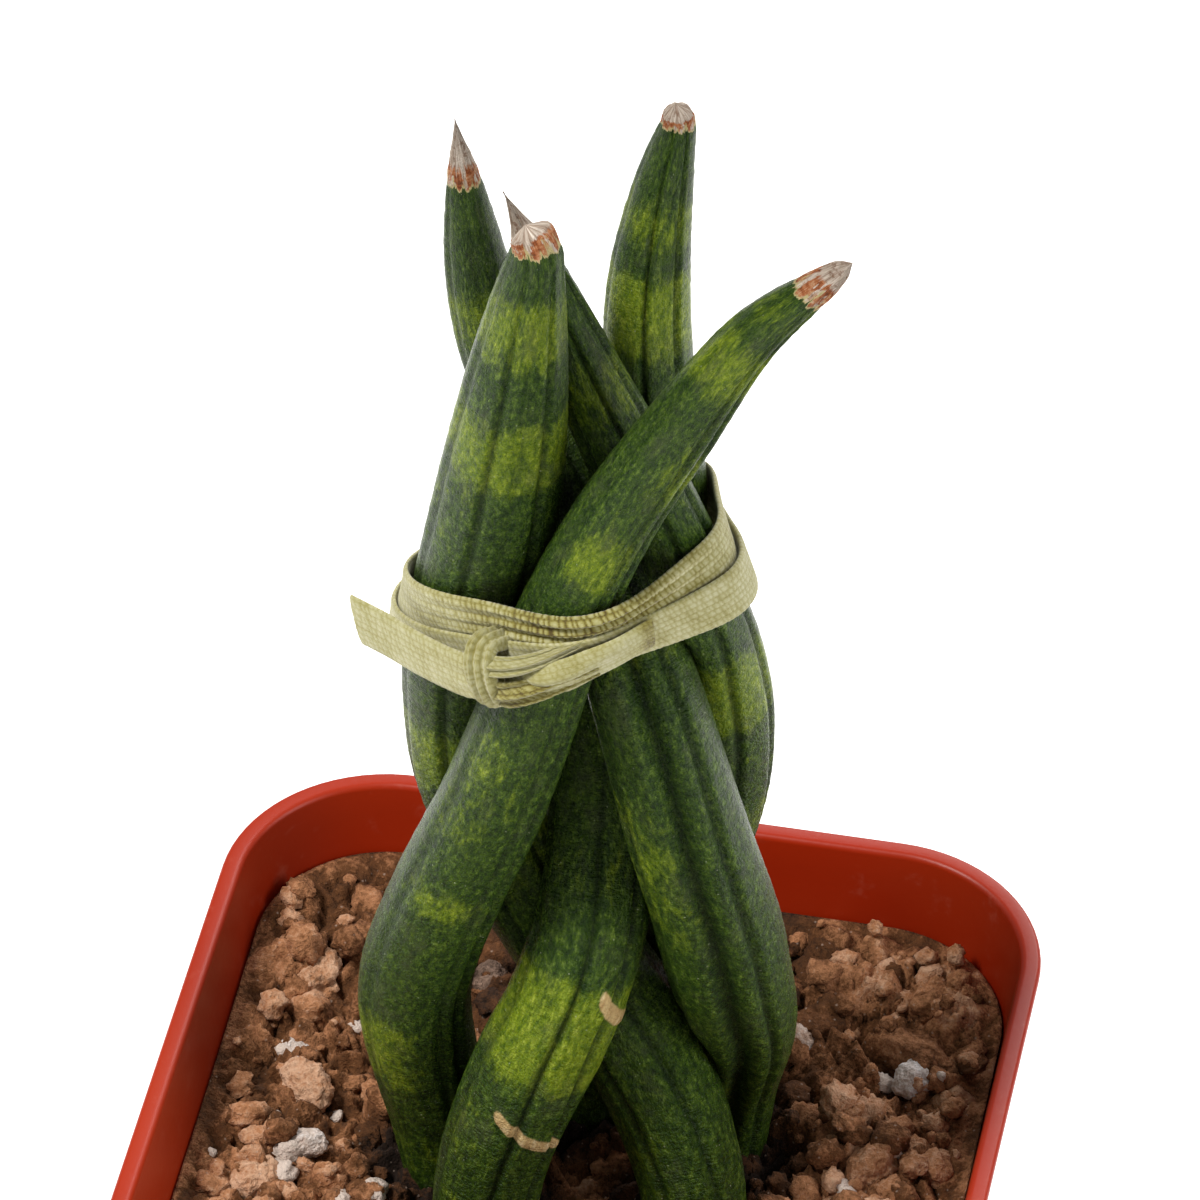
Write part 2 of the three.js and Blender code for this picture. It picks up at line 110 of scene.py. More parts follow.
def smoothed(values, width, wrap=False, axis=0):
    """Gaussian smoothing of rows or columns; width is in steps."""
    reach = max(1, int(3 * width))
    weights = np.exp(-0.5 * (np.arange(-reach, reach + 1) / width) ** 2)
    weights /= weights.sum()
    pad = [(0, 0)] * values.ndim
    pad[axis] = (reach, reach)
    padded = np.pad(values, pad, mode="wrap" if wrap else "edge")
    out = np.zeros_like(values)
    for k, weight in enumerate(weights):
        out += weight * np.take(padded, range(k, k + values.shape[axis]), axis=axis)
    return out


def unit(vectors):
    return vectors / np.linalg.norm(vectors, axis=-1, keepdims=True)


def run_length(points):
    """How far along their own line the points are."""
    steps = np.linalg.norm(np.diff(points, axis=0), axis=1)
    return np.concatenate([[0], np.cumsum(steps)])


def resampled(points, course, spots):
    """A line of points read again at other spots along its course."""
    return np.stack([np.interp(spots, course, points[:, k]) for k in range(3)], 1)


def bell(values, middle, width):
    return np.exp(-((values - middle) / width) ** 2)


def clamped(value):
    return min(1, max(0, value))


def between(a, b, share):
    return a + (b - a) * share


def bmesh_data(shape):
    """A bmesh's points and faces; the bmesh is freed."""
    points = [v.co.copy() for v in shape.verts]
    faces = [[v.index for v in f.verts] for f in shape.faces]
    shape.free()
    return points, faces

# ---- Camera ----

CAMERA_TURN = math.radians(11.4)  # round the pot, from square on to its front
CAMERA_RISE = math.radians(42.3)  # above the horizon
CAMERA_DISTANCE = 0.804
CAMERA_LENS = 270.6  # on a 36 mm sensor
LOOK_HEIGHT = 0.1328  # above the pot's underside
LOOK_RIGHT = 0.00206  # beside the pot's middle


def make_camera():
    data = bpy.data.cameras.new("camera")
    data.lens = CAMERA_LENS
    data.sensor_width = 36
    data.clip_end = 10
    camera = add_object("camera", data)
    right = Vector((math.cos(CAMERA_TURN), math.sin(CAMERA_TURN), 0))
    back = Vector((
        math.sin(CAMERA_TURN) * math.cos(CAMERA_RISE),
        -math.cos(CAMERA_TURN) * math.cos(CAMERA_RISE),
        math.sin(CAMERA_RISE),
    ))
    camera.location = right * LOOK_RIGHT + Vector((0, 0, LOOK_HEIGHT)) + back * CAMERA_DISTANCE
    turn_towards(camera, -back)
    bpy.context.scene.camera = camera


make_camera()
bpy.context.scene.view_settings.view_transform = "Standard"

# ---- Node materials ----


class Shader:
    """A short way to write a node material."""

    def __init__(self, name):
        self.material = bpy.data.materials.new(name)
        self.material.use_nodes = True
        self.tree = self.material.node_tree

    def put(self, node, key, value):
        if isinstance(value, bpy.types.NodeSocket):
            self.tree.links.new(value, node.inputs[key])
        else:
            node.inputs[key].default_value = value

    def node(self, kind, output, inputs=(), **settings):
        """Adds a node with these inputs set or linked, and gives one of its outputs."""
        node = self.tree.nodes.new("ShaderNode" + kind)
        for key, value in settings.items():
            setattr(node, key, value)
        for key, value in inputs:
            self.put(node, key, value)
        return node.outputs[output]

    def attribute(self, name, output="Fac"):
        return self.node("Attribute", output, attribute_name=name)

    def place(self):
        return self.node("TexCoord", "Object")

    def noise(self, vector, scale, detail, roughness):
        """Noise. Three numbers for scale stretch the space first."""
        if isinstance(scale, tuple):
            vector = self.node("Mapping", "Vector", [("Vector", vector), ("Scale", scale)])
            scale = 1
        return self.node("TexNoise", "Fac", [("Vector", vector), ("Scale", scale),
                                             ("Detail", detail), ("Roughness", roughness)])

    def cells(self, vector, scale):
        return self.node("TexVoronoi", "Distance", [("Vector", vector), ("Scale", scale)])

    def math(self, operation, a, b):
        return self.node("Math", 0, [(0, a), (1, b)], operation=operation)

    def weighed(self, *parts, base=None, middle=0):
        """The sum of values times their weights, on a base. middle is taken from each value."""
        for value, weight in parts:
            if middle:
                value = self.math("SUBTRACT", value, middle)
            value = self.math("MULTIPLY", value, weight)
            base = value if base is None else self.math("ADD", base, value)
        return base

    def band(self, value, low, high):
        """0 below low, 1 above high, smooth between them."""
        inputs = [("Value", value), ("From Min", low), ("From Max", high)]
        return self.node("MapRange", "Result", inputs, interpolation_type="SMOOTHSTEP")

    def mix(self, share, a, b, weight=1):
        if weight != 1:
            share = self.math("MULTIPLY", share, weight)
        return self.node("Mix", "Result", [("Factor", share), ("A", a), ("B", b)],
                         data_type="RGBA")

    def ramp(self, value, *stops):
        """A colour ramp; each stop is its spot, red, green and blue."""
        output = self.node("ValToRGB", "Color", [("Fac", value)])
        elements = output.node.color_ramp.elements
        while len(elements) < len(stops):
            elements.new(0.5)
        for element, (spot, *colour) in zip(elements, stops):
            element.position = spot
            element.color = (*colour, 1)
        return output

    def bump(self, height, strength, distance):
        return self.node("Bump", "Normal", [("Height", height), ("Strength", strength),
                                            ("Distance", distance)])

    def finish(self, **sockets):
        for key, value in sockets.items():
            self.put(self.tree.nodes["Principled BSDF"], key.replace("_", " "), value)
        return self.material


def rgb(red, green, blue):
    return (red, green, blue, 1)


def leaf_material():
    """Leaf skin, in the leaf's own straightened space ("skin", in mm), so bands and specks follow
    its bends. "light" is how yellow-green a band is, the groove attribute how much painted shade
    lies in a groove, "tip" how far into the dried tip, and "scar" where it has healed."""
    s = Shader("leaf_skin")
    skin = s.attribute("skin", "Vector")
    light, groove_shade, tip, scar = map(s.attribute, ("light", "groove_shade", "tip", "scar"))

    def grain(across, along, detail, roughness):
        return s.noise(skin, (across, across, along), detail, roughness)

    ragged = grain(0.55, 0.24, 6, 0.66)
    streaks = grain(2.6, 0.5, 4, 0.6)
    blotches = grain(0.17, 0.12, 3, 0.5)
    fleck = grain(1.9, 1.1, 6, 0.78)
    spots = grain(1.3, 0.6, 3, 0.6)
    dust = grain(0.3, 0.2, 4, 0.6)
    fibres = grain(1.6, 0.5, 5, 0.65)
    rings = grain(0.3, 2.2, 4, 0.6)
    patches = grain(0.42, 0.50, 4, 0.6)
    wrinkles = grain(0.9, 3.6, 4, 0.6)
    pores = grain(4.2, 3.4, 3, 0.6)

    # The living leaf: dark and pale green, a dull bloom, painted shade in the grooves and pale
    # specks.
    banded = s.weighed((ragged, 1.5), (streaks, 0.7), (spots, 1.0), (blotches, 0.5),
                       base=light, middle=0.5)
    dark = s.ramp(fleck, (0.36, 0.005, 0.019, 0.001), (0.47, 0.019, 0.045, 0.003),
                  (0.56, 0.044, 0.085, 0.006), (0.68, 0.135, 0.205, 0.028))
    pale = s.ramp(fleck, (0.34, 0.036, 0.078, 0.002), (0.47, 0.098, 0.152, 0.004),
                  (0.58, 0.185, 0.245, 0.012), (0.70, 0.360, 0.420, 0.055))
    colour = s.mix(s.band(banded, 0.24, 0.86), dark, pale)
    colour = s.mix(s.band(dust, 0.50, 0.72), colour, rgb(0.064, 0.074, 0.034), 0.38)
    # Painted shade: the grooves are darkened almost to black.
    colour = s.mix(groove_shade, colour, rgb(0.005, 0.014, 0.002), 0.78)
    specks = s.band(s.cells(skin, 1.3), 0.12, 0.05)
    specks = s.math("MULTIPLY", specks, s.band(ragged, 0.48, 0.60))
    colour = s.mix(specks, colour, rgb(0.46, 0.50, 0.33), 0.6)

    # The dried tip: a cream line, then rust, then the husk. Scars have a colour of their own.
    husk = s.ramp(fibres, (0.30, 0.190, 0.115, 0.075), (0.46, 0.46, 0.36, 0.28),
                  (0.66, 0.76, 0.67, 0.58))
    husk = s.mix(s.band(rings, 0.52, 0.66), husk, rgb(0.20, 0.10, 0.055), 0.75)
    rust = s.ramp(s.weighed((rings, 0.6), (streaks, 0.4)),
                  (0.36, 0.11, 0.034, 0.012), (0.46, 0.31, 0.085, 0.026),
                  (0.55, 0.46, 0.190, 0.080), (0.66, 0.60, 0.45, 0.30))
    rust = s.mix(s.band(patches, 0.52, 0.58), rust, husk)
    edge = s.weighed((ragged, 1.0), (streaks, 0.4), base=tip, middle=0.5)
    colour = s.mix(s.band(edge, 0.36, 0.40), colour, rgb(0.50, 0.42, 0.20))
    colour = s.mix(s.band(edge, 0.44, 0.50), colour, rust)
    colour = s.mix(s.band(edge, 0.70, 0.90), colour, husk)
    healed = s.ramp(fibres, (0.3, 0.30, 0.17, 0.06), (0.55, 0.50, 0.36, 0.16),
                    (0.75, 0.66, 0.54, 0.33))
    colour = s.mix(s.band(s.weighed((fleck, 0.3), base=scar), 0.5, 0.75), colour, healed)

    normal = s.bump(s.weighed((wrinkles, 0.7), (pores, 0.7)), 0.95, 0.00055)
    dull = s.weighed((pores, 0.28), (s.band(tip, 0.3, 0.6), 0.35), base=0.15)
    return s.finish(Base_Color=colour, Roughness=dull, Normal=normal, Specular_IOR_Level=0.15)


def pot_material():
    s = Shader("pot_plastic")
    place = s.place()
    cloud = s.noise(place, 22, 3, 0.5)
    colour = s.ramp(cloud, (0.3, 0.28, 0.013, 0.001), (0.7, 0.34, 0.024, 0.003))
    dust = s.band(s.noise(place, 260, 4, 0.7), 0.58, 0.78)
    scuffs = s.band(s.noise(place, (90, 90, 240), 5, 0.75), 0.60, 0.78)
    for wear, weight in ((dust, 0.10), (scuffs, 0.08)):
        colour = s.mix(wear, colour, rgb(0.60, 0.28, 0.20), weight)
    normal = s.bump(s.noise(place, 1400, 2, 0.5), 0.12, 0.0001)
    dull = s.weighed((cloud, 0.10), base=0.34)
    return s.finish(Base_Color=colour, Roughness=dull, Normal=normal, Specular_IOR_Level=0.28)


def earth_material(name, dark, middle, pale, grit):
    """Mix, bark or perlite. "tone" makes it darker or paler, grit is the share of pale chips."""
    s = Shader(name)
    place = s.place()
    tone = s.attribute("tone")
    lumps = s.noise(place, 420, 5, 0.65)
    grains = s.noise(place, 2300, 3, 0.7)
    mixed = s.weighed((lumps, 0.62), (grains, 0.38))
    mixed = s.weighed((tone, 0.34), base=mixed, middle=0.5)
    colour = s.ramp(mixed, (0.04, 0.012, 0.005, 0.002), (0.34, *dark), (0.50, *middle),
                    (0.68, *pale))
    colour = s.mix(s.band(tone, 1.2, 1.4), colour, rgb(0.62, 0.51, 0.44))
    chips = s.band(s.cells(place, 900), 0.16, 0.06)
    colour = s.mix(chips, colour, rgb(0.55, 0.42, 0.34), grit)
    normal = s.bump(s.math("ADD", lumps, grains), 0.9, 0.0006)
    return s.finish(Base_Color=colour, Roughness=0.93, Normal=normal, Specular_IOR_Level=0.25)


def ribbon_material():
    """Woven tape. "tape" is along and across it in mm, "shade" how much darker it is: painted shade
    between the weave's beads, and each strip's tint.
    """
    s = Shader("ribbon_weave")
    tape = s.attribute("tape", "Vector")
    fuzz = s.noise(tape, (4.0, 9.0, 1.0), 4, 0.65)
    cloud = s.noise(tape, (0.35, 0.5, 1.0), 3, 0.5)
    # Painted shade: "shade" darkens the tape between the weave's beads and where a strip is tinted.
    tone = s.weighed((fuzz, 0.45), (cloud, 0.45), (s.attribute("shade"), -0.44), base=0.15)
    colour = s.ramp(tone, (0.05, 0.075, 0.050, 0.008), (0.22, 0.185, 0.155, 0.026),
                    (0.42, 0.310, 0.285, 0.105), (0.66, 0.460, 0.440, 0.265),
                    (0.90, 0.600, 0.585, 0.480))
    normal = s.bump(fuzz, 0.7, 0.00016)
    return s.finish(Base_Color=colour, Roughness=0.78, Normal=normal, Specular_IOR_Level=0.2,
                    Sheen_Weight=0.35, Sheen_Roughness=0.5)


LEAF = leaf_material()
POT = pot_material()
RIBBON = ribbon_material()
MIX = earth_material("potting_mix", (0.120, 0.046, 0.015), (0.390, 0.175, 0.080),
                     (0.590, 0.355, 0.225), 0.35)
BARK = earth_material("bark", (0.140, 0.054, 0.019), (0.370, 0.170, 0.080),
                      (0.600, 0.370, 0.240), 0.40)
PERLITE = earth_material("perlite", (0.34, 0.22, 0.16), (0.56, 0.46, 0.40),
                         (0.78, 0.73, 0.71), 0.0)

# ---- Light and floor ----

WORLD_STRENGTH = 0.30
# Name, place and disk size in metres, power in watts, and tint.
LIGHTS = [
    ("key", (-0.45, -0.24, 0.90), 0.34, 11, (1, 0.985, 0.95)),
    ("fill", (0.9, -0.2, 0.55), 0.7, 6, (1, 1, 1)),
    ("rim", (0.15, 0.8, 0.6), 0.6, 5, (1, 1, 1)),
]
LIGHTS_AIM = Vector((0, 0, 0.1))
FLOOR_REACH = 3
FLOOR_LIFT = 0.02 * MM  # over the pot's underside, which so shows from below


def make_stage():
    world = bpy.data.worlds.new("studio")
    bpy.context.scene.world = world
    world.use_nodes = True
    sky = world.node_tree.nodes["Background"].inputs
    sky["Color"].default_value = (1, 1, 1, 1)
    sky["Strength"].default_value = WORLD_STRENGTH
    for name, place, size, power, tint in LIGHTS:
        data = bpy.data.lights.new(name, "AREA")
        data.shape = "DISK"
        data.size = size
        data.energy = power
        data.color = tint
        light = add_object(name, data)
        light.location = place
        turn_towards(light, LIGHTS_AIM - Vector(place))

    mesh = bpy.data.meshes.new("floor")
    r = FLOOR_REACH
    corners = [(-r, -r, 0), (r, -r, 0), (r, r, 0), (-r, r, 0)]
    mesh.from_pydata(corners, [], [(0, 1, 2, 3)])
    mesh.materials.append(Shader("pale_floor").finish(
        Base_Color=rgb(0.92, 0.92, 0.92), Roughness=0.9,
        Emission_Color=rgb(1, 1, 1), Emission_Strength=0.42))
    floor = add_object("floor", mesh)
    floor.location.z = FLOOR_LIFT


make_stage()

# ---- Reading the frame ----

POT_LOW, POT_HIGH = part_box("pot")
LUMP_NODES = sorted(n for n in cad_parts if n.startswith(("bark_", "perlite_")))
MIX_HUMPS = 1.1 * MM  # how far the CAD mix's humps stand up
SOIL_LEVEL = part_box("potting_mix")[1].z - MIX_HUMPS
FRONT = Vector((math.sin(CAMERA_TURN), -math.cos(CAMERA_TURN), 0))  # the plant's shown side
RIGHT = Vector((0, 0, 1)).cross(FRONT)


def corners_of(node):
    """A CAD node's triangles, as an array of corner points."""
    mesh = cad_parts[node].data
    mesh.calc_loop_triangles()
    points = np.array([v.co for v in mesh.vertices])
    return points[np.array([t.vertices for t in mesh.loop_triangles])]


def tree_of(corners):
    points = [Vector(p) for p in corners.reshape(-1, 3)]
    return BVHTree.FromPolygons(points, [(k, k + 1, k + 2) for k in range(0, len(points), 3)])


def section_middle(corners, height):
    """The middle of the area that a closed mesh cuts from a level plane."""
    above = corners[:, :, 2] > height
    cut = corners[above.any(1) & ~above.all(1)]
    sides = np.cross(cut[:, 1] - cut[:, 0], cut[:, 2] - cut[:, 0])
    area, moment = 0.0, np.zeros(2)
    for triangle, facing in zip(cut, sides):
        ends = []
        for a, b in ((0, 1), (1, 2), (2, 0)):
            za, zb = triangle[a][2] - height, triangle[b][2] - height
            if (za > 0) != (zb > 0):
                ends.append(triangle[a][:2] + (triangle[b][:2] - triangle[a][:2]) * za / (za - zb))
        p, q = ends
        if (q[1] - p[1]) * facing[0] - (q[0] - p[0]) * facing[1] < 0:
            p, q = q, p
        cross = p[0] * q[1] - q[0] * p[1]
        area += cross / 2
        moment += (p + q) * cross / 6
    return np.array([*(moment / area), height])


# ---- Leaves ----

RING_STEP = 0.45 * MM
LEAF_SIDES = 96
LEAF_START = 7 * MM  # how far down in the mix the shown leaf begins
SECTION_STEP = 0.8 * MM  # between the level cuts that give a leaf's middle line
TIP_CUT = 0.4 * MM  # the last cut is at least this far below the tip
TIP_DEPTH = 0.25 * MM  # corners this near to a leaf's end make up its tip
TIP_CHORD = 3 * MM  # the stretch that gives a tip's direction
COURSE_SMOOTHING = 3.0  # in cuts or rings
GIRTH_SMOOTHING = 3.2  # in sides
RAY_REACH = 9 * MM
MISSED_RAY = 0.93  # of the ring before, where a ray meets nothing
ROUNDER = 1.012  # how far a round leaf stands out over flat facets
EVEN_END = 2.5  # mm, where a tip grows evenly round
END_ROWS = 3  # rings too near the end to measure


class Leaf:
    """A CAD leaf read again as rings of rays from its middle line, so it is round and fine."""

    def __init__(self, node):
        corners = corners_of(node)
        points = corners.reshape(-1, 3)
        top = points[points[:, 2].argmax()]
        below = section_middle(corners, top[2] - TIP_CHORD)
        along = (points - below) @ (top - below) / np.linalg.norm(top - below)
        tip = np.unique(points[along > along.max() - TIP_DEPTH].round(6), axis=0).mean(0)
        heights = np.arange(SOIL_LEVEL - LEAF_START, tip[2] - TIP_CUT, SECTION_STEP)
        middles = np.array([section_middle(corners, h) for h in heights] + [tip])
        middles[:-1] = smoothed(middles[:-1], COURSE_SMOOTHING)
        course = run_length(middles)
        self.length = course[-1]
        self.along = np.linspace(0, self.length, int(self.length / RING_STEP))
        self.middle = smoothed(resampled(middles, course, self.along), COURSE_SMOOTHING)
        self.middle[-1] = tip
        tangent = unit(np.gradient(self.middle, axis=0))
        front = unit(np.array(FRONT) - tangent * (tangent @ np.array(FRONT))[:, None])
        right = np.cross(tangent, front)
        self.angle = np.arange(LEAF_SIDES) / LEAF_SIDES * 2 * math.pi
        cos, sin = np.cos(self.angle), np.sin(self.angle)
        self.rays = front[:, None] * cos[None, :, None] + right[:, None] * sin[None, :, None]
        self.radius = self.measure(tree_of(corners))

    def measure(self, tree):
        radius = np.zeros(self.rays.shape[:2])
        for r, middle in enumerate(self.middle):
            start = Vector(middle)
            for c in range(LEAF_SIDES):
                hit = tree.ray_cast(start, Vector(self.rays[r, c]), RAY_REACH)
                radius[r, c] = hit[3] if hit[0] is not None else radius[r - 1, c] * MISSED_RAY
        radius[-END_ROWS:] = radius[-END_ROWS - 1]
        radius = smoothed(smoothed(radius, GIRTH_SMOOTHING, wrap=True, axis=1), COURSE_SMOOTHING)
        return radius * ROUNDER

    def field(self, seed, along_scale, around_scale, octaves):
        """Soft noise over the skin, about -1 to 1."""
        return np.array([
            [fractal(Vector((math.cos(a) * around_scale + seed, math.sin(a) * around_scale,
                             s / MM * along_scale + seed)), 0.6, 2.1, octaves)
             for a in self.angle]
            for s in self.along])


def turned(angle, around):
    """Angles as seen from around, from -180 to 180 degrees."""
    return np.degrees((angle - np.radians(around) + math.pi) % (2 * math.pi) - math.pi)


# What each leaf shows.
# grooves: angle from the front (degrees, to the plant's right), depth in mm, width in degrees, and
#     for one that ends below the tip, the height share where it does.
# bands: height above the mix as a share of the plant's, from and to, how yellow-green, and for one
#     that doesn't go all round, the side it is on.
# husk, rust: length in mm of the dried tip, and of the rusty collar below it.
# spike: how thin the husk has shrunk. round: mm of rounding at the end. cap: how wide the end is
#     cut off flat, as a share. point: mm over which it runs to a point.
LEAF_LOOKS = {
    "leaf_front": {
        "grooves": [(46, 0.90, 5.5), (22, 0.38, 4), (-62, 0.25, 7), (118, 0.4, 8), (-140, 0.4, 8)],
        "bands": [(0.01, 0.07, 0.3), (0.125, 0.205, 0.85, -45), (0.30, 0.33, 0.3, 20),
                  (0.345, 0.375, 0.75, -20), (0.42, 0.54, 0.5, -40), (0.60, 0.63, 0.3, -30),
                  (0.695, 0.745, 0.85, -10), (0.785, 0.835, 0.6, 40), (0.880, 0.925, 0.8),
                  (0.940, 0.962, 0.5)],
        "husk": 2.6, "rust": 2.6, "spike": 0.10, "round": 2.4, "seed": 3,
    },
    "leaf_left": {
        "grooves": [(-20, 0.55, 4.5), (36, 0.65, 4.5), (8, 0.12, 4), (-75, 0.4, 7), (100, 0.4, 8),
                    (170, 0.4, 8)],
        "bands": [(0.03, 0.12, 0.35, -50), (0.30, 0.36, 0.5), (0.41, 0.48, 0.8), (0.54, 0.60, 0.4),
                  (0.70, 0.76, 0.30, -60), (0.765, 0.835, 0.75), (0.885, 0.945, 0.75)],
        "husk": 0.6, "rust": 1.6, "spike": 0.0, "round": 1.2, "cap": 0.62, "seed": 11,
    },
    "leaf_right": {
        "grooves": [(3, 1.75, 11, 0.72), (38, 0.80, 5, 0.8), (-60, 0.3, 8), (120, 0.4, 8),
                    (-130, 0.4, 8)],
        "bands": [(0.02, 0.14, 0.45, -40), (0.20, 0.26, 0.3, -50), (0.33, 0.48, 0.55, -50),
                  (0.56, 0.60, 0.4), (0.70, 0.76, 0.5), (0.795, 0.85, 0.7), (0.90, 0.92, 0.3)],
        "husk": 5.0, "rust": 2.0, "spike": 0.20, "round": 0.6, "point": 4.0, "seed": 23,
    },
    "leaf_bottom": {
        "grooves": [(-7, 0.72, 4.5), (40, 0.75, 4.5), (-80, 0.35, 8), (120, 0.4, 8),
                    (-150, 0.4, 8)],
        "bands": [(0.02, 0.07, 0.4), (0.10, 0.16, 0.35, -60), (0.19, 0.272, 0.9), (0.32, 0.36, 0.3),
                  (0.60, 0.66, 0.5), (0.72, 0.755, 0.5), (0.797, 0.862, 1.0), (0.885, 0.922, 0.7)],
        "husk": 1.2, "rust": 1.0, "spike": 0.0, "round": 1.9, "cap": 0.2, "seed": 31,
    },
    "leaf_back": {
        "grooves": [(20, 0.70, 5), (-40, 0.55, 6), (75, 0.6, 6), (150, 0.4, 8), (-120, 0.4, 8)],
        "bands": [(0.03, 0.10, 0.3), (0.33, 0.38, 0.6), (0.42, 0.455, 0.4), (0.475, 0.565, 0.9),
                  (0.70, 0.73, 0.3), (0.785, 0.83, 0.55)],
        "husk": 5.4, "rust": 0.8, "spike": 0.20, "round": 0.6, "point": 4.4, "seed": 43,
    },
}
# Healed scars: height share, angle, half width in degrees, slant and thickness in mm.
SCARS = {"leaf_bottom": [(0.144, 12, 42, -1.7, 0.78), (0.256, 50, 30, -1.2, 0.85)]}
SCAR_RISE, SCAR_SAG = 0.22, 0.5  # mm
BAND_FADE = 0.005  # of the plant's height
BAND_SIDE = 50  # degrees, how wide a band on one side is
GROOVE_WANDER = 9  # degrees
GROOVE_END = 0.12  # of the plant's height, where a groove fades out
LIP_RISE, LIP_WIDTH = 0.22, 2.6  # the swelling beside a groove, as shares of it
FULL_GROOVE = 0.5  # mm, deep enough for a groove's full painted shade
SWELLING, WRINKLING, CREASING = 0.014, 0.045, 0.16  # shares, but mm for the wrinkles
RIM_PINCH, RIM_WIDTH = 0.045, 0.55  # share and mm, where the dried tip begins
SKIN_GIRTH = 5.0  # mm, radius of every leaf in its straightened space
SKIN_APART = 7  # mm between leaves there for each step of seed

PLANT_TOP = max(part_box(node)[1].z for node in LEAF_LOOKS)


def cut_grooves(leaf, radius, share, looks):
    """Cuts a leaf's long grooves into its radius, and gives how much painted shade lies in them, by
    how deep in a groove the skin is.
    """
    groove_shade = np.zeros_like(radius)
    fade = np.interp(share, [0.0, 0.12, 0.85, 1.0], [0.7, 1.0, 0.8, 0.1])
    wander = leaf.field(looks["seed"] + 50, 0.018, 0.0, 2)[:, :1] * GROOVE_WANDER
    for angle, depth, width, *until in looks["grooves"]:
        away = turned(leaf.angle[None, :], angle) + wander
        lasts = np.ones_like(share)
        if until:
            lasts = np.clip((until[0] - share) / GROOVE_END, 0.1, 1)
        cut = bell(away, 0, width)
        groove_shade += cut * min(1, depth / FULL_GROOVE) * lasts[:, None]
        cut = cut - LIP_RISE * bell(away, 0, LIP_WIDTH * width)
        radius -= cut * depth * MM * (fade * lasts)[:, None]
    return np.clip(groove_shade, 0, 1) * fade[:, None]


def make_leaf(node, looks):
    leaf = Leaf(node)
    share = (leaf.middle[:, 2] - SOIL_LEVEL) / (PLANT_TOP - SOIL_LEVEL)
    to_tip = (leaf.length - leaf.along) / MM
    husk_end, rust_end, seed = looks["husk"], looks["husk"] + looks["rust"], looks["seed"]
    dried = np.interp(to_tip, [0.8 * husk_end, 1.15 * husk_end, rust_end, rust_end + 0.7],
                      [1.1, 0.58, 0.50, 0.0])
    radius = leaf.radius

    # A dried tip shrinks to a husk: narrower than the green leaf where it ends in a spike.
    thinner = np.interp(to_tip, [0.1 * husk_end, 0.7 * husk_end, 1.2 * husk_end], [0.0, 0.55, 0.0])
    thinner = 1 - looks["spike"] * thinner
    even = np.clip(1 - to_tip / EVEN_END, 0, 1)[:, None]
    radius += (radius.mean(1, keepdims=True) - radius) * even
    cap = looks.get("cap", 0)
    rounding = cap + (1 - cap) * np.sqrt(1 - np.clip(1 - to_tip / looks["round"], 0, 1) ** 2)
    pointed = np.clip(to_tip / looks.get("point", 0.01), 0, 1) ** 0.8
    radius *= (thinner * rounding * pointed)[:, None]

    groove_shade = cut_grooves(leaf, radius, share, looks)

    # Uneven growth, fine cross wrinkles, and the husk's creases.
    husk = np.clip((dried - 0.35) * 2.2, 0, 1)[:, None]
    radius *= 1 + SWELLING * leaf.field(seed, 0.05, 0.8, 3)
    radius += leaf.field(seed + 9, 1.1, 1.0, 3) * WRINKLING * MM * (1 - husk)
    radius *= 1 - CREASING * husk * np.abs(leaf.field(seed + 7, 0.22, 2.6, 4))
    radius *= 1 - RIM_PINCH * bell(to_tip, rust_end, RIM_WIDTH)[:, None]

    scar = np.zeros_like(radius)
    for height, angle, half, slant, thick in SCARS.get(node, []):
        away = turned(leaf.angle[None, :], angle)
        bent = slant * MM * away / half + SCAR_SAG * MM * (away / half) ** 2
        line = np.interp(height, share, leaf.along) + bent
        inside = np.clip((1.15 - np.abs(away) / half) * 4, 0, 1)
        scar = np.maximum(scar, bell(leaf.along[:, None] - line, 0, thick * MM) * inside)
    radius += SCAR_RISE * MM * scar

    light = np.zeros_like(radius)
    for low, high, strength, *side in looks["bands"]:
        rise = 1 / (1 + np.exp(-(share - low) / BAND_FADE))
        fall = 1 / (1 + np.exp((share - high) / BAND_FADE))
        facing = np.ones(LEAF_SIDES)
        if side:
            facing = bell(turned(leaf.angle, side[0]), 0, BAND_SIDE)
        light = np.maximum(light, strength * (rise * fall)[:, None] * facing[None, :])

    leaf.surface = (leaf.middle[:, None] + leaf.rays * radius[:, :, None]).reshape(-1, 3)
    points = [*leaf.surface, leaf.middle[0], leaf.middle[-1]]
    piece = new_piece(node + "_skin", points, closed_faces(*radius.shape), LEAF, [node])

    skin = np.zeros((*radius.shape, 3))
    skin[:, :, 0] = SKIN_GIRTH * np.cos(leaf.angle) + seed * SKIN_APART
    skin[:, :, 1] = SKIN_GIRTH * np.sin(leaf.angle)
    skin[:, :, 2] = leaf.along[:, None] / MM
    ends = np.array([skin[0].mean(0), skin[-1].mean(0)])
    set_attribute(piece, "skin", np.vstack([skin.reshape(-1, 3), ends]))
    tip = dried[:, None] * np.ones((1, LEAF_SIDES))
    for name, values in (("light", light), ("groove_shade", groove_shade), ("tip", tip), ("scar", scar)):
        ends = [values[0].mean(), values[-1].mean()]
        set_attribute(piece, name, np.append(values.ravel(), ends))
    return leaf


leaves = [make_leaf(node, looks) for node, looks in LEAF_LOOKS.items()]

# ---- Pot ----

# Sizes that the CAD pot has too, in mm.
POT_WIDTH = (POT_HIGH.x - POT_LOW.x) / MM
POT_HEIGHT = POT_HIGH.z / MM
POT_BASE_WIDTH = 57
POT_WALL, POT_FLOOR = 1.3, 1.8
POT_CORNER, POT_BASE_CORNER = 16, 10
COLLAR_HEIGHT, COLLAR_STEP = 13, 0.9
LIP_HEIGHT, LIP_STEP = 2.2, 0.7
FOOT_BEVEL = 1.2
HOLE_DIAMETER, HOLE_REACH = 8, 15.4

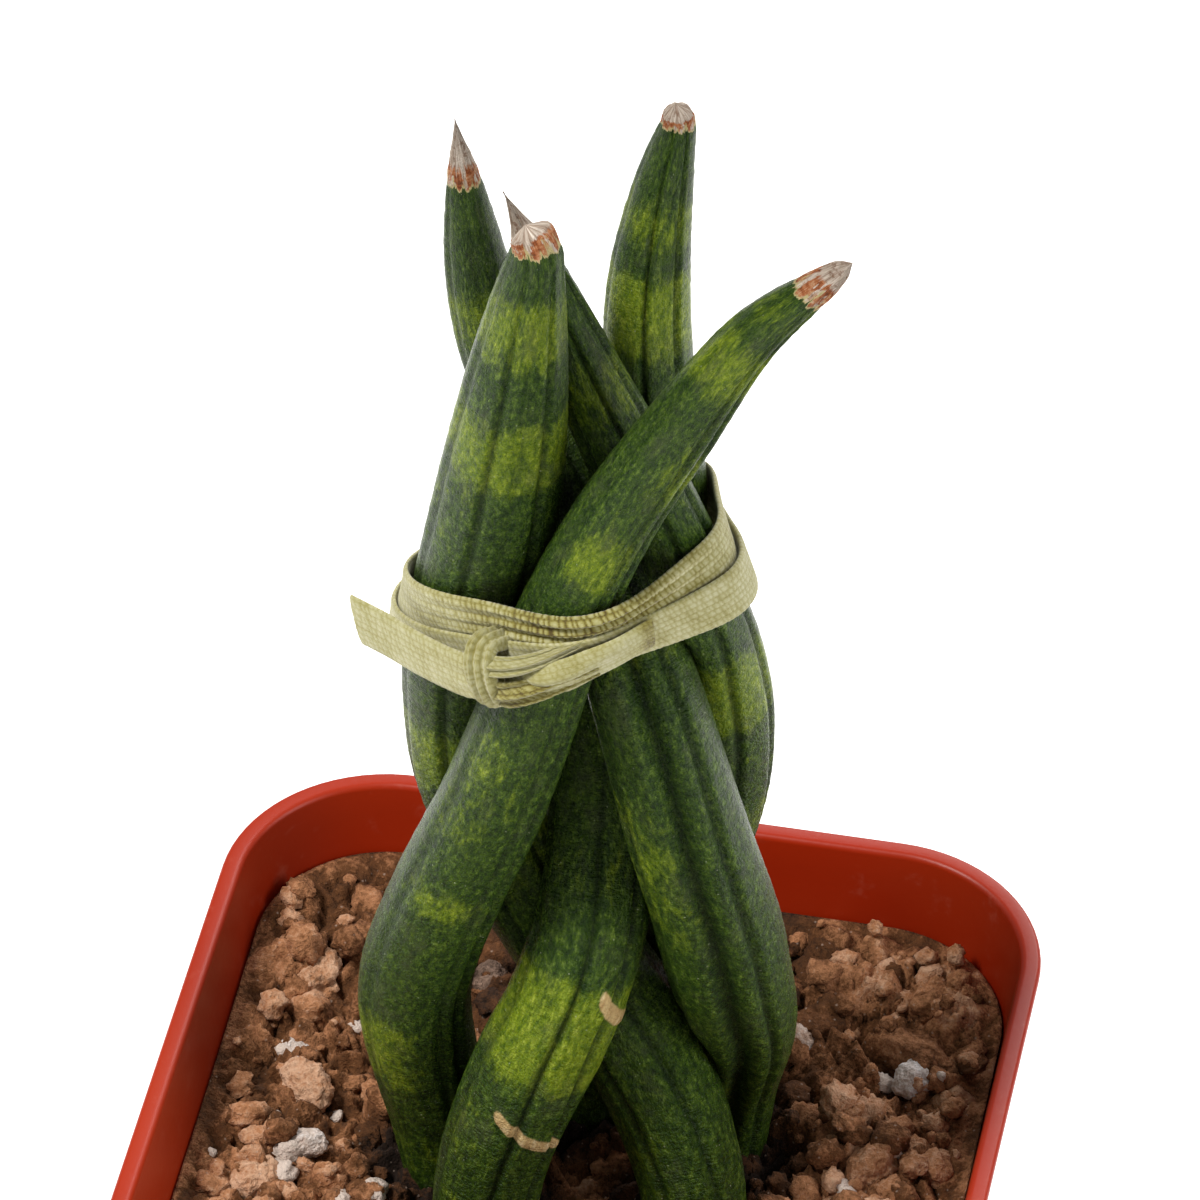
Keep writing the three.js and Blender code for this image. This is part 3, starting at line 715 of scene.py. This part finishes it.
LIP_ROUND = 0.55
CORNER_STEPS, SIDE_STEPS, HOLE_STEPS = 18, 10, 40
SHARP_EDGE = math.radians(40)
SQUARE = ((1, 1), (-1, 1), (-1, -1), (1, -1))


def square_ring(width, corner, z):
    """A square with round corners at height z, counterclockwise from above."""
    reach = width / 2 - corner

    def spot(quarter, angle):
        x, y = SQUARE[quarter % 4]
        return x * reach + corner * math.cos(angle), y * reach + corner * math.sin(angle)

    ring = []
    for quarter in range(4):
        turn = quarter * math.pi / 2
        for step in range(CORNER_STEPS + 1):
            ring.append(spot(quarter, turn + step / CORNER_STEPS * math.pi / 2))
        start, end = ring[-1], spot(quarter + 1, turn + math.pi / 2)
        for step in range(1, SIDE_STEPS):
            ring.append([between(a, b, step / SIDE_STEPS) for a, b in zip(start, end)])
    return [(x, y, z) for x, y in ring]


def wall_size(z):
    """Width and corner radius of the plain wall's outside at a height."""
    share = z / POT_HEIGHT
    step = COLLAR_STEP + LIP_STEP
    return (between(POT_BASE_WIDTH, POT_WIDTH - 2 * step, share),
            between(POT_BASE_CORNER, POT_CORNER - step, share))


def wall_ring(z, out):
    """The wall's outside at a height, moved out by out mm."""
    width, corner = wall_size(z)
    return square_ring(width + 2 * out, corner + out, z)


def inner_reach(z):
    """How far the wall's inside moves from the plain wall's outside at a height."""
    collar = POT_HEIGHT - COLLAR_HEIGHT
    return -POT_WALL + COLLAR_STEP * clamped((z - collar) / (2 * COLLAR_STEP))


def arc(middle, radius, start, end, steps):
    """Points of a round edge: (out, height) about a middle, angles in degrees."""
    out, height = middle
    angles = np.radians(np.linspace(start, end, steps + 1))
    return [(out + radius * math.cos(a), height + radius * math.sin(a)) for a in angles]


def make_pot():
    collar, lip = POT_HEIGHT - COLLAR_HEIGHT, POT_HEIGHT - LIP_HEIGHT
    stand = COLLAR_STEP + LIP_STEP
    inside = COLLAR_STEP - POT_WALL
    # (out, height) from the foot up the outside, over the lip and down the inside to the floor.
    profile = arc((-FOOT_BEVEL, FOOT_BEVEL), FOOT_BEVEL, -90, 0, 6)
    profile += [(0, z) for z in np.linspace(4, collar - 1.6, 12)]
    profile += [(0, collar - 0.5), (0.06, collar - 0.3), (0.35, collar + 0.12),
                (COLLAR_STEP - 0.1, collar + 0.75), (COLLAR_STEP, collar + 1.3)]
    profile += [(COLLAR_STEP, z) for z in np.linspace(collar + 3, lip - 1.2, 5)]
    profile += [(COLLAR_STEP + 0.05, lip - 0.35), (COLLAR_STEP + 0.3, lip - 0.05)]
    profile += arc((stand - LIP_ROUND, lip + LIP_ROUND), LIP_ROUND, -60, 0, 4)
    profile += arc((stand - LIP_ROUND, POT_HEIGHT - LIP_ROUND), LIP_ROUND, 0, 90, 6)
    profile += arc((inside + LIP_ROUND, POT_HEIGHT - LIP_ROUND), LIP_ROUND, 90, 180, 6)
    profile += [(inside, z) for z in np.linspace(lip - 1, collar + 2.6, 6)]
    profile += [(inside - 0.15, collar + 1.7), (-POT_WALL + 0.15, collar + 0.5),
                (-POT_WALL, collar - 0.3)]
    profile += [(-POT_WALL, z) for z in np.linspace(collar - 3, 5, 8)]
    profile += arc((-POT_WALL - FOOT_BEVEL, POT_FLOOR + FOOT_BEVEL), FOOT_BEVEL, 0, -90, 5)
    rings = [wall_ring(max(z, 0), out) for out, z in profile]
    points = sum(rings, []) + [(0, 0, 0), (0, 0, POT_FLOOR)]
    faces = closed_faces(len(rings), len(rings[0]))
    pot = new_piece("pot_shell", np.array(points) * MM, faces, POT, ["pot"])
    drill_holes(pot)


def drill_holes(pot):
    cutter_mesh = bpy.data.meshes.new("drill")
    shape = bmesh.new()
    radius = HOLE_DIAMETER / 2 * MM
    for x, y in ((0, 0), *SQUARE):
        made = bmesh.ops.create_cone(shape, cap_ends=True, segments=HOLE_STEPS, radius1=radius,
                                     radius2=radius, depth=4 * POT_FLOOR * MM)
        bmesh.ops.translate(shape, verts=made["verts"],
                            vec=(x * HOLE_REACH * MM, y * HOLE_REACH * MM, POT_FLOOR / 2 * MM))
    shape.to_mesh(cutter_mesh)
    shape.free()
    cutter = add_object("drill", cutter_mesh)
    cut = pot.modifiers.new("holes", "BOOLEAN")
    cut.operation, cut.solver, cut.object = "DIFFERENCE", "EXACT", cutter
    bpy.context.view_layer.update()
    drilled = pot.evaluated_get(bpy.context.evaluated_depsgraph_get())
    done = bpy.data.meshes.new_from_object(drilled)
    pot.modifiers.remove(cut)
    pot.data = done
    bpy.data.objects.remove(cutter)
    done.set_sharp_from_angle(angle=SHARP_EDGE)


make_pot()

# ---- Potting mix ----

MIX_GRID = 250  # points across the surface of the mix
BIG_CLUMP, SMALL_CLUMP = 7.4, 2.9  # mm across
MIX_EDGE = 10  # the humps grow over a tenth of the way in from the wall
MIX_LEVELS = (50, 30, POT_FLOOR + 0.3)  # rings of the sides, down to the floor
CRUMB_COUNT = 900
CRUMB_FIELD = 35  # mm from the middle
CRUMB_SIZE, CRUMB_SPREAD = 1.3, 4.0  # mm, the smallest and how much larger they get
PALE_SHARE, PALE_TONE = 0.95, 1.6  # crumbs drawn over the share are pale grit
PALE_BACK = 18  # mm; there are none further back than this
PLANT_SHADE_TONE = 1.5  # how much darker the mix is painted in the plant's shade
PLANT_SHADE_CLEAR, PLANT_SHADE_FADE = 10.5, 4  # mm from a leaf's middle line


def inner_outline(angle, z, clearance):
    """How far the pot's inside is from its middle, in mm, in a direction."""
    width, corner = wall_size(z)
    out = inner_reach(z) - clearance
    half, corner = width / 2 + out, corner + out
    x, y = abs(math.cos(angle)), abs(math.sin(angle))
    reach = half - corner
    if y * half <= x * reach or x * half <= y * reach:
        return half / max(x, y)
    along = (x + y) * reach
    return along + math.sqrt(max(0, along * along - 2 * reach * reach + corner * corner))


def clump(x, y, size, seed):
    """Height of rounded clumps with low gaps between them, 0 to 1, and the clump's own number."""
    distances, places = voronoi(Vector((x / size, y / size, seed)))
    gap = min(1, (distances[1] - distances[0]) * 2.6)
    own = noise(places[0] * 7.3)
    return math.sqrt(gap) * (1 - 0.55 * distances[0] ** 2), own


def raised(x, y, back, back_width, left, left_width):
    """How much higher the mix lies along the back wall and the left wall, in mm."""
    return back * bell(y, 34, back_width) + left * bell(x, -34, left_width)


def mix_height(x, y):
    """The surface of the mix in mm, with a tone for its colour, painted darker in the gaps between
    clumps as shade.
    """
    warp_x = x + 1.3 * noise(Vector((x * 0.35, y * 0.35, 1.7)))
    warp_y = y + 1.3 * noise(Vector((x * 0.35, y * 0.35, 8.2)))
    big, own_big = clump(warp_x, warp_y, BIG_CLUMP, 3.1)
    small, own_small = clump(warp_x, warp_y, SMALL_CLUMP, 9.4)
    grain = turbulence(Vector((x * 1.1, y * 1.1, 4.0)), 3, False)
    rise = 1.3 * noise(Vector((x * 0.07, y * 0.07, 5.5))) + raised(x, y, 2.0, 18, 1.4, 16)
    height = SOIL_LEVEL / MM - 2.6 + rise + 2.6 * big + 1.9 * own_big
    height += 1.7 * small + 0.9 * own_small + 1.0 * grain
    # Painted shade: the tone is darker in the gaps between the big clumps.
    return height, 0.56 + 0.5 * own_big + 0.3 * own_small - 0.6 * (1 - big)


def crumb(size, seed, fineness):
    """A rough crumb about size mm long, around the origin."""
    shape = bmesh.new()
    bmesh.ops.create_icosphere(shape, subdivisions=fineness, radius=1)
    ways, faces = bmesh_data(shape)
    draw = random.Random(seed)
    squash = Vector((1, draw.uniform(0.65, 0.95), draw.uniform(0.5, 0.85)))
    turn = Euler([draw.uniform(-0.6, 0.6), draw.uniform(-0.6, 0.6), draw.uniform(0, 6.3)])
    turn = turn.to_matrix()
    at = Vector((seed * 1.7, seed * 0.3, 0))
    points = []
    for way in ways:
        way.normalize()
        dents, _ = voronoi(way * 1.3 + at)
        pull = 1 - 0.42 * dents[0] + 0.20 * fractal(way * 2.6 + at, 0.7, 2.1, 3)
        pull += 0.10 * noise(way * 7 + at)
        points.append(turn @ (way * squash) * pull * size / 2)
    return points, faces


def leaf_clearance(x, y, z):
    """How far a place (mm) is from the nearest leaf's middle line, in mm."""
    place = np.array((x, y, z)) * MM
    return min(np.linalg.norm(leaf.middle - place, axis=1).min() for leaf in leaves) / MM


def plant_shade(x, y, z):
    """Painted shade on the mix close in among the leaves and behind them, 0 to 1."""
    close = clamped((PLANT_SHADE_CLEAR - leaf_clearance(x, y, z)) / PLANT_SHADE_FADE)
    behind = bell(x, 0, 15) * clamped((y - 10) / 8)
    return max(close * bell(math.hypot(x, y), 0, 26), 0.8 * behind)


def mix_block():
    """The block of mix under its uneven surface: points in mm, tones and faces."""
    level = SOIL_LEVEL / MM
    points, tones = [], []
    last = MIX_GRID - 1
    for row in range(MIX_GRID):
        for column in range(MIX_GRID):
            i, j = 2 * row / last - 1, 2 * column / last - 1
            far = max(abs(i), abs(j))
            angle = math.atan2(j, i)
            reach = inner_outline(angle, level, 0.05) * far
            x, y = reach * math.cos(angle), reach * math.sin(angle)
            z, tone = mix_height(x, y)
            edge = level + raised(x, y, 1.6, 24, 1.2, 20)
            z = between(edge, z, min(1, (1 - far) * MIX_EDGE))
            points.append((x, y, z))
            # The mix's tone is painted darker in the plant's shade.
            tones.append(tone - PLANT_SHADE_TONE * plant_shade(x, y, z))
    grid = np.arange(MIX_GRID ** 2).reshape(MIX_GRID, -1)
    quads = [grid[:-1, :-1], grid[1:, :-1], grid[1:, 1:], grid[:-1, 1:]]
    faces = np.stack(quads, 2).reshape(-1, 4).tolist()
    sides = [grid[:-1, 0], grid[-1, :-1], grid[:0:-1, -1], grid[0, :0:-1]]
    above = rim = np.concatenate(sides).tolist()
    for z in MIX_LEVELS:
        below = []
        for index in rim:
            angle = math.atan2(points[index][1], points[index][0])
            reach = inner_outline(angle, z, 0.3 if z > 10 else 1.4)
            below.append(len(points))
            points.append((reach * math.cos(angle), reach * math.sin(angle), z))
            tones.append(0.3)
        for k in range(len(rim)):
            beside = (k + 1) % len(rim)
            faces.append((above[k], below[k], below[beside], above[beside]))
        above = below
    faces.append(list(reversed(above)))
    return points, tones, faces


def make_mix():
    points, tones, faces = mix_block()
    draw = random.Random(17)
    made = 0
    while made < CRUMB_COUNT:
        x, y = draw.uniform(-CRUMB_FIELD, CRUMB_FIELD), draw.uniform(-CRUMB_FIELD, CRUMB_FIELD)
        size = CRUMB_SIZE + CRUMB_SPREAD * draw.random() ** 1.7
        tone, seed = draw.random(), draw.randrange(1000)
        wall = inner_outline(math.atan2(y, x), SOIL_LEVEL / MM, 0.45 * size + 0.2)
        if math.hypot(x, y) > wall:
            continue
        z = mix_height(x, y)[0] + size * 0.06
        if leaf_clearance(x, y, z) < 5.7 + 0.3 * size:
            continue
        shape, sides = crumb(size, seed, 3 if size > 2 else 2)
        start = len(points)
        points += [(p.x + x, p.y + y, p.z + z) for p in shape]
        faces += [[k + start for k in side] for side in sides]
        # Crumbs in the plant's painted shade are darker, and none of them there is pale grit.
        in_shade = plant_shade(x, y, z)
        pale = tone > PALE_SHARE and in_shade < 0.2 and y < PALE_BACK
        tones += [PALE_TONE if pale else 0.85 * tone - PLANT_SHADE_TONE * in_shade] * len(shape)
        made += 1
    piece = new_piece("potting_mix_crumbs", np.array(points) * MM, faces, MIX,
                      ["potting_mix"])
    set_attribute(piece, "tone", tones)


make_mix()

# ---- Loose bark and perlite ----


def make_lump(node, number):
    """The CAD lump with a finer, rougher skin."""
    bark = node.startswith("bark_")
    dent_size, depth = (2.1, 0.85) if bark else (1.6, 0.55)  # mm, and a share
    shape = bmesh.new()
    shape.from_mesh(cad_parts[node].data)
    bmesh.ops.remove_doubles(shape, verts=shape.verts, dist=0.02 * MM)
    for _ in range(3):
        bmesh.ops.subdivide_edges(shape, edges=shape.edges, cuts=1, use_grid_fill=True)
        bmesh.ops.smooth_vert(shape, verts=shape.verts, factor=0.5, use_axis_x=True,
                              use_axis_y=True, use_axis_z=True)
    shape.normal_update()
    at = Vector((number * 3.7, number * 1.9, 0))
    moved = []
    for v in shape.verts:
        spot = v.co / MM
        dents, _ = voronoi(spot / dent_size + at)
        height = 0.75 * (0.45 - dents[0]) + 0.55 * fractal(spot * 0.55 + at, 0.8, 2.1, 4)
        height += 0.16 * turbulence(spot * 2.2 + at, 3, False)
        moved.append(v.co + v.normal * height * depth * MM)
    faces = bmesh_data(shape)[1]
    material, slot = (BARK, "bark") if bark else (PERLITE, "perlite")
    piece = new_piece(node + "_rough", moved, faces, material, [node])
    own = (math.sin(number * 12.7) + 1) / 2
    middle = sum(moved, Vector()) / len(moved) / MM
    back_wall_shade = 1.7 * clamped(middle.y / 8 - 2.5)  # painted shade, darker against the back wall
    # Painted shade: lumps against the back wall and in among the leaves are darker.
    tone = 0.25 + 0.6 * own - back_wall_shade - PLANT_SHADE_TONE * plant_shade(*middle)
    set_attribute(piece, "tone", [tone] * len(moved))


for count, lump_node in enumerate(LUMP_NODES):
    make_lump(lump_node, count)

# ---- Ribbon ----

# The tie's own frame and the tape's width are the CAD ribbon's. Its thickness leaves room for the
# weave and the folds.
TAPE_WIDTH = 4.8 * MM
TAPE_THICKNESS = 0.5 * MM
TAPE_CLEAR = 0.2 * MM  # off the leaves
TIE_HEIGHT = 135.5 * MM  # above the pot's underside
TIE_RISE_RIGHT, TIE_RISE_BACK = 0.22, -0.3
PLANT_SHIFT = 0.9 * MM
KNOT_ANGLE = -118  # degrees round the braid, seen from above
TAPE_STEP = 0.12 * MM  # fineness of the woven surface
BEAD_ROW = 0.62 * MM  # across the tape
BEAD_LENGTH = 0.58 * MM  # along the tape
BEAD_HEIGHT = 0.13 * MM
BEAD_BACK = 0.6  # height of the beads on the tape's rear
TURN_LENGTH = 108 * MM  # sets how many steps a turn has
LEVEL_STEP = 0.5 * MM
SPLINE_STEPS = 60  # between two points of a course

PLANT_RIGHT = np.array(RIGHT)
PLANT_BACK = -np.array(FRONT)
UPRIGHT = np.array((0, 0, 1.0))
TIE_RIGHT = unit(PLANT_RIGHT + TIE_RISE_RIGHT * UPRIGHT)
TIE_UP = unit(np.cross(TIE_RIGHT, PLANT_BACK + TIE_RISE_BACK * UPRIGHT))
TIE_BACK = np.cross(TIE_UP, TIE_RIGHT)
TIE_MIDDLE = PLANT_RIGHT * PLANT_SHIFT + UPRIGHT * TIE_HEIGHT


class TautHull:
    """How far a taut tape runs from the middle of the tie, at each height and angle."""

    LEVELS = np.arange(-9, 9.01, 0.5) * MM
    ANGLES = 360
    SLAB = 0.9 * MM  # the leaves' skin this near to a level counts at it
    OBLIQUE = 0.2  # least cosine to a direction that holds the tape off
    FAR = 1.0

    def __init__(self):
        offset = np.vstack([leaf.surface for leaf in leaves]) - TIE_MIDDLE
        right, back, up = offset @ TIE_RIGHT, offset @ TIE_BACK, offset @ TIE_UP
        facing = np.arange(0, 360, 2) * math.pi / 180
        angle = np.arange(self.ANGLES) / self.ANGLES * 2 * math.pi
        share = np.cos(facing[None, :] - angle[:, None])
        self.radius = []
        for level in self.LEVELS:
            near = np.abs(up - level) < self.SLAB
            spots = np.stack([right[near], back[near]], 1)
            clear = (spots @ np.stack([np.cos(facing), np.sin(facing)])).max(0)
            reach = clear[None, :] / np.maximum(share, self.OBLIQUE)
            reach = np.where(share > self.OBLIQUE, reach, self.FAR)
            self.radius.append(reach.min(1))
        self.radius = smoothed(np.array(self.radius), 1.5, wrap=True, axis=1)

    def at(self, angle, level):
        """Radius at arrays of angles (degrees) and levels (metres)."""
        column = angle % self.ANGLES
        low = np.floor(column).astype(int) % self.ANGLES
        high = (low + 1) % self.ANGLES
        part = column - np.floor(column)
        row = np.clip((level - self.LEVELS[0]) / LEVEL_STEP, 0, len(self.LEVELS) - 1.001)
        base = row.astype(int)
        rise = row - base
        at_low, at_high = (self.radius[base + k, low] * (1 - part)
                           + self.radius[base + k, high] * part for k in (0, 1))
        return at_low * (1 - rise) + at_high * rise

    def tape(self, angle, level):
        """Where a flat tape's middle lies, and how it leans, so that it bears on the leaves."""
        spread = np.linspace(-0.5, 0.5, 9) * TAPE_WIDTH
        lean = (self.at(angle, level + 2 * MM) - self.at(angle, level - 2 * MM)) / (4 * MM)
        lean = smoothed(np.clip(lean, -0.9, 0.9), 25, wrap=True)
        gaps = [self.at(angle, level + v) - lean * v for v in spread]
        return smoothed(np.max(gaps, 0), 12, wrap=True), lean


def ahead_of(middle):
    """The way on at each point of a closed course."""
    return np.roll(middle, -1, 0) - np.roll(middle, 1, 0)


class Tape:
    """All the stretches of the ribbon in one mesh."""

    def __init__(self):
        self.points, self.faces, self.tape, self.shade = [], [], [], []

    def stretch(self, middle, outward, closed=False, width=1.0, arch=0.0, pleat=0.0, pleats=2.5,
                start=0, skew=0.0, tint=0.0, beads=1.0, slant=0.0):
        """A woven strip along middle. width, arch, pleat, tint and beads may be arrays.

        arch (mm) bows the strip outward at its middle line, pleat (mm) folds it lengthwise, pleats
        is how many folds, start (mm) is where on the ribbon its weave begins, skew slants the
        weave, tint darkens it, beads is how high the weave stands and how much painted shade lies
        between its beads, and slant (mm) cuts the far end aslant."""
        count = len(middle)
        width, arch, pleat, tint, beads = (
            np.ones(count) * v for v in (width, arch, pleat, tint, beads))
        along = unit(ahead_of(middle) if closed else np.gradient(middle, axis=0))
        across = unit(np.cross(outward, along))
        outward = np.cross(along, across)
        course = start * MM + run_length(middle)
        columns = max(8, int(TAPE_WIDTH / TAPE_STEP))
        share = np.linspace(-1, 1, columns + 1)
        v = share[None, :] * TAPE_WIDTH / 2
        u = course[:, None] + skew * v + np.zeros_like(v)
        row = np.floor(v / BEAD_ROW + 0.5) + np.zeros_like(u)
        in_row = v / BEAD_ROW + 0.5 - row - 0.5
        wobble = 0.22 * np.sin(u / MM * 1.9 + row * 2.3) + 0.17 * np.sin(u / MM * 5.1 + row * 1.3)
        bead = 0.5 + 0.5 * np.cos(2 * math.pi * (u / BEAD_LENGTH + 0.5 * (row % 2) + wobble))
        bead = np.sqrt(bead) * np.sqrt(np.clip(1 - (2 * in_row) ** 2, 0, 1))
        fold = np.sin(share[None, :] * math.pi * pleats + 0.6 * np.sin(course[:, None] / MM * 0.5))
        bow = arch[:, None] * (1 - share[None, :] ** 2) + pleat[:, None] * fold
        edge = np.sqrt(np.clip(1.02 - share[None, :] ** 8, 0, 1)) * TAPE_THICKNESS / 2
        lump = bead * beads[:, None] * BEAD_HEIGHT
        slide = slant * MM * share[None, :] * np.linspace(0, 1, count)[:, None] ** 2
        base = (middle[:, None] + across[:, None] * (v * width[:, None])[:, :, None]
                + along[:, None] * slide[:, :, None])
        front = base + outward[:, None] * (bow * MM + edge + lump)[:, :, None]
        rear = base + outward[:, None] * (bow * MM - edge - lump * BEAD_BACK)[:, :, None]
        ring = np.concatenate([front, rear[:, ::-1]], 1)
        sides = ring.shape[1]
        first = len(self.points)
        self.points += list(ring.reshape(-1, 3))
        faces = grid_faces(count, sides, first)
        if closed:
            last = first + (count - 1) * sides
            for c in range(sides):
                beside = (c + 1) % sides
                faces.append((last + c, last + beside, first + beside, first + c))
        else:
            faces.append([first + c for c in reversed(range(sides))])
            faces.append([first + (count - 1) * sides + c for c in range(sides)])
        self.faces += faces
        cloth = np.stack([u / MM, (v + np.zeros_like(u)) / MM, np.zeros_like(u)], 2)
        # Painted shade between the beads, plus the strip's tint.
        deep = np.clip(1 - bead * 1.15, 0, 1) * beads[:, None] + tint[:, None]
        self.tape += list(np.concatenate([cloth, cloth[:, ::-1]], 1).reshape(-1, 3))
        self.shade += list(np.concatenate([deep, deep[:, ::-1]], 1).ravel())

    def build(self):
        piece = new_piece("ribbon_tape", self.points, self.faces, RIBBON,
                          ["ribbon_tie"])
        set_attribute(piece, "tape", self.tape)
        set_attribute(piece, "shade", self.shade)


def spline(points):
    """A smooth course through a few points, evenly stepped."""
    ends = np.vstack([2 * points[0] - points[1], points, 2 * points[-1] - points[-2]])
    course = []
    for k in range(1, len(ends) - 2):
        p0, p1, p2, p3 = ends[k - 1:k + 3]
        for t in np.linspace(0, 1, SPLINE_STEPS, endpoint=False):
            course.append(0.5 * (2 * p1 + (p2 - p0) * t + (2 * p0 - 5 * p1 + 4 * p2 - p3) * t ** 2
                                 + (3 * p1 - p0 - 3 * p2 + p3) * t ** 3))
    course = np.array(course + [ends[-2]])
    run = run_length(course)
    return resampled(course, run, np.linspace(0, run[-1], int(run[-1] / TAPE_STEP)))


def turn_of_tape(hull, level_at, out_at):
    """One closed turn: its middle line and its outward directions."""
    angle = np.linspace(0, 360, int(TURN_LENGTH / TAPE_STEP), endpoint=False)
    spots = np.arange(0, 361, 30)
    level = smoothed(np.interp(angle, spots, [*level_at, level_at[0]]) * MM, 30, wrap=True)
    out = smoothed(np.interp(angle, spots, [*out_at, out_at[0]]) * MM, 25, wrap=True)
    reach, lean = hull.tape(angle, level)
    turn = np.radians(angle)[:, None]
    radial = TIE_RIGHT * np.cos(turn) + TIE_BACK * np.sin(turn)
    middle = TIE_MIDDLE + radial * (reach + TAPE_CLEAR + out)[:, None] + TIE_UP * level[:, None]
    across = unit(TIE_UP + radial * lean[:, None])
    return angle, middle, unit(np.cross(unit(ahead_of(middle)), across))


# Levels (mm, above the tie's middle) and stand-off (mm) of the two turns every 30 degrees, from the
# plant's right round its back.
UPPER_LEVELS = [2.7, 3.1, 2.8, 2.0, 1.6, 1.6, 1.9, 2.2, 1.6, 0.7, 0.9, 1.9]
UPPER_OUT = [0.3] * 12
LOWER_LEVELS = [-1.7, -1.2, -1.1, -1.6, -1.6, -1.6, -1.8, -2.1, -1.7, -1.6, -1.8, -1.9]
LOWER_OUT = [0.95, 1.0, 1.0] + [0.95] * 9
CRUSHED_AT, CRUSHED_WIDTH = 275, 50  # degrees, where the turns are pulled together in front
# The knot's strands, in mm along the lower turn, out from it and up. The left tail's end is turned
# up. The wrap is pulled over the lower turn. The roll and the loop under it leave to the right.
LEFT_TAIL = [(-0.9, 0.6, -1.2), (-2.6, 1.2, -1.1), (-5.8, 0.9, -0.6), (-9.9, 0.1, 0.5),
             (-13.8, -0.8, 1.8), (-17.0, -1.2, 3.0)]
WRAP = [(-1.2, -0.8, 2.2), (-1.7, 1.2, 2.5), (-1.9, 2.2, 1.5), (-2.0, 2.4, 0.2),
        (-2.1, 2.2, -1.1), (-2.3, 1.5, -2.3), (-2.2, 0.5, -2.8), (-1.8, -0.4, -2.3)]
WRAP_MIDDLE = (-1.8, -1.6, -0.2)
ROLL = [(-2.2, 1.2, 0.6), (-0.6, 1.9, 0.7), (1.4, 1.8, 0.8), (3.4, 0.6, 0.9), (5.6, -1.6, 1.2),
        (7.0, -3.4, 1.4)]
UNDER = [(-2.3, 0.6, -1.9), (-0.4, 1.6, -2.0), (1.4, 1.6, -1.8), (3.2, 0.9, -1.5),
         (5.0, -0.4, -1.1), (6.8, -2.4, -0.8)]
RIGHT_TAIL_RUN = (1.2, 18.6)  # mm past the knot's middle


def make_ribbon():
    hull = TautHull()
    tape = Tape()
    angle, middle, outward = turn_of_tape(hull, UPPER_LEVELS, UPPER_OUT)
    front = bell(np.abs((angle - CRUSHED_AT + 180) % 360 - 180), 0, CRUSHED_WIDTH)
    tape.stretch(middle, outward, closed=True, width=1.06 - 0.30 * front, tint=0.06 + 0.26 * front,
                 beads=0.5 + 0.5 * front, pleat=0.26 * front, pleats=3.5, skew=0.3)
    angle, middle, outward = turn_of_tape(hull, LOWER_LEVELS, LOWER_OUT)
    tape.stretch(middle, outward, closed=True, width=1.06 - 0.14 * front, skew=0.5, start=110,
                 beads=0.5, tint=0.06)

    knot = int(KNOT_ANGLE % 360 / 360 * len(angle))
    ahead = unit(middle[(knot + 20) % len(angle)] - middle[knot - 20])
    out = outward[knot]
    over = np.cross(out, ahead)
    knot_axes = np.stack([ahead, out, over]) * MM

    def placed(points):
        return middle[knot] + np.array(points) @ knot_axes

    left = spline(placed(LEFT_TAIL))
    share = np.linspace(0, 1, len(left))
    tape.stretch(left, np.tile(out, (len(left), 1)), skew=0.35, start=230, beads=0.45,
                 width=0.70 + 0.25 * np.clip(share * 4, 0, 1), tint=0.02 + 0.2 * bell(share, 0, 0.2),
                 arch=0.4 * bell(share, 0.05, 0.18) + 0.15, pleat=0.2 * bell(share, 0, 0.2),
                 slant=-0.9)

    # The right tail comes from under the roll, crosses the lower turn and ends on the upper one.
    start, end = (int(reach * MM / TAPE_STEP) for reach in RIGHT_TAIL_RUN)
    spots = (knot + np.arange(start, end)) % len(angle)
    share = np.linspace(0, 1, len(spots))
    lift = smoothed(np.interp(share, [0, 0.08, 0.16, 0.45, 1], [-0.6, 0.9, 1.8, 0.9, 0.66]), 5)
    climb = np.interp(share, [0, 0.25, 0.55, 0.85, 1], [-0.5, -0.5, 0.3, 1.2, 1.5])
    right = middle[spots] + outward[spots] * lift[:, None] * MM
    right += np.cross(outward[spots], ahead) * smoothed(climb, 12)[:, None] * MM
    tape.stretch(right, outward[spots], skew=0.2, start=250, beads=0.35,
                 width=0.34 + 0.38 * np.clip(share * 3.5, 0, 1), arch=0.6 - 0.4 * share,
                 pleat=0.20 * (1 - share), pleats=1.5,
                 tint=0.04 + 0.75 * bell(share, 0.97, 0.10) + 0.16 * bell(share, 0.35, 0.2))

    wrap = spline(placed(WRAP))
    tape.stretch(wrap, unit(wrap - placed([WRAP_MIDDLE])), start=270, width=0.64, arch=0.7,
                 pleat=0.22, pleats=3.5, beads=0.5, tint=0.04 + 0.22 * np.linspace(0, 1, len(wrap)))
    roll = spline(placed(ROLL))
    share = np.linspace(0, 1, len(roll))
    tape.stretch(roll, unit(out + 0.2 * over + 0 * roll), start=310, width=0.50 - 0.30 * share,
                 arch=0.8, pleat=0.22, beads=0.6, tint=0.06, skew=0.9)
    # The strand under the roll is tinted darker as painted shade.
    under = spline(placed(UNDER))
    share = np.linspace(0, 1, len(under))
    tape.stretch(under, unit(out - 0.3 * over + 0 * under), start=330, width=0.66 - 0.16 * share,
                 arch=0.7, pleat=0.26, beads=0.9, tint=0.32, skew=1.2)
    tape.build()


make_ribbon()
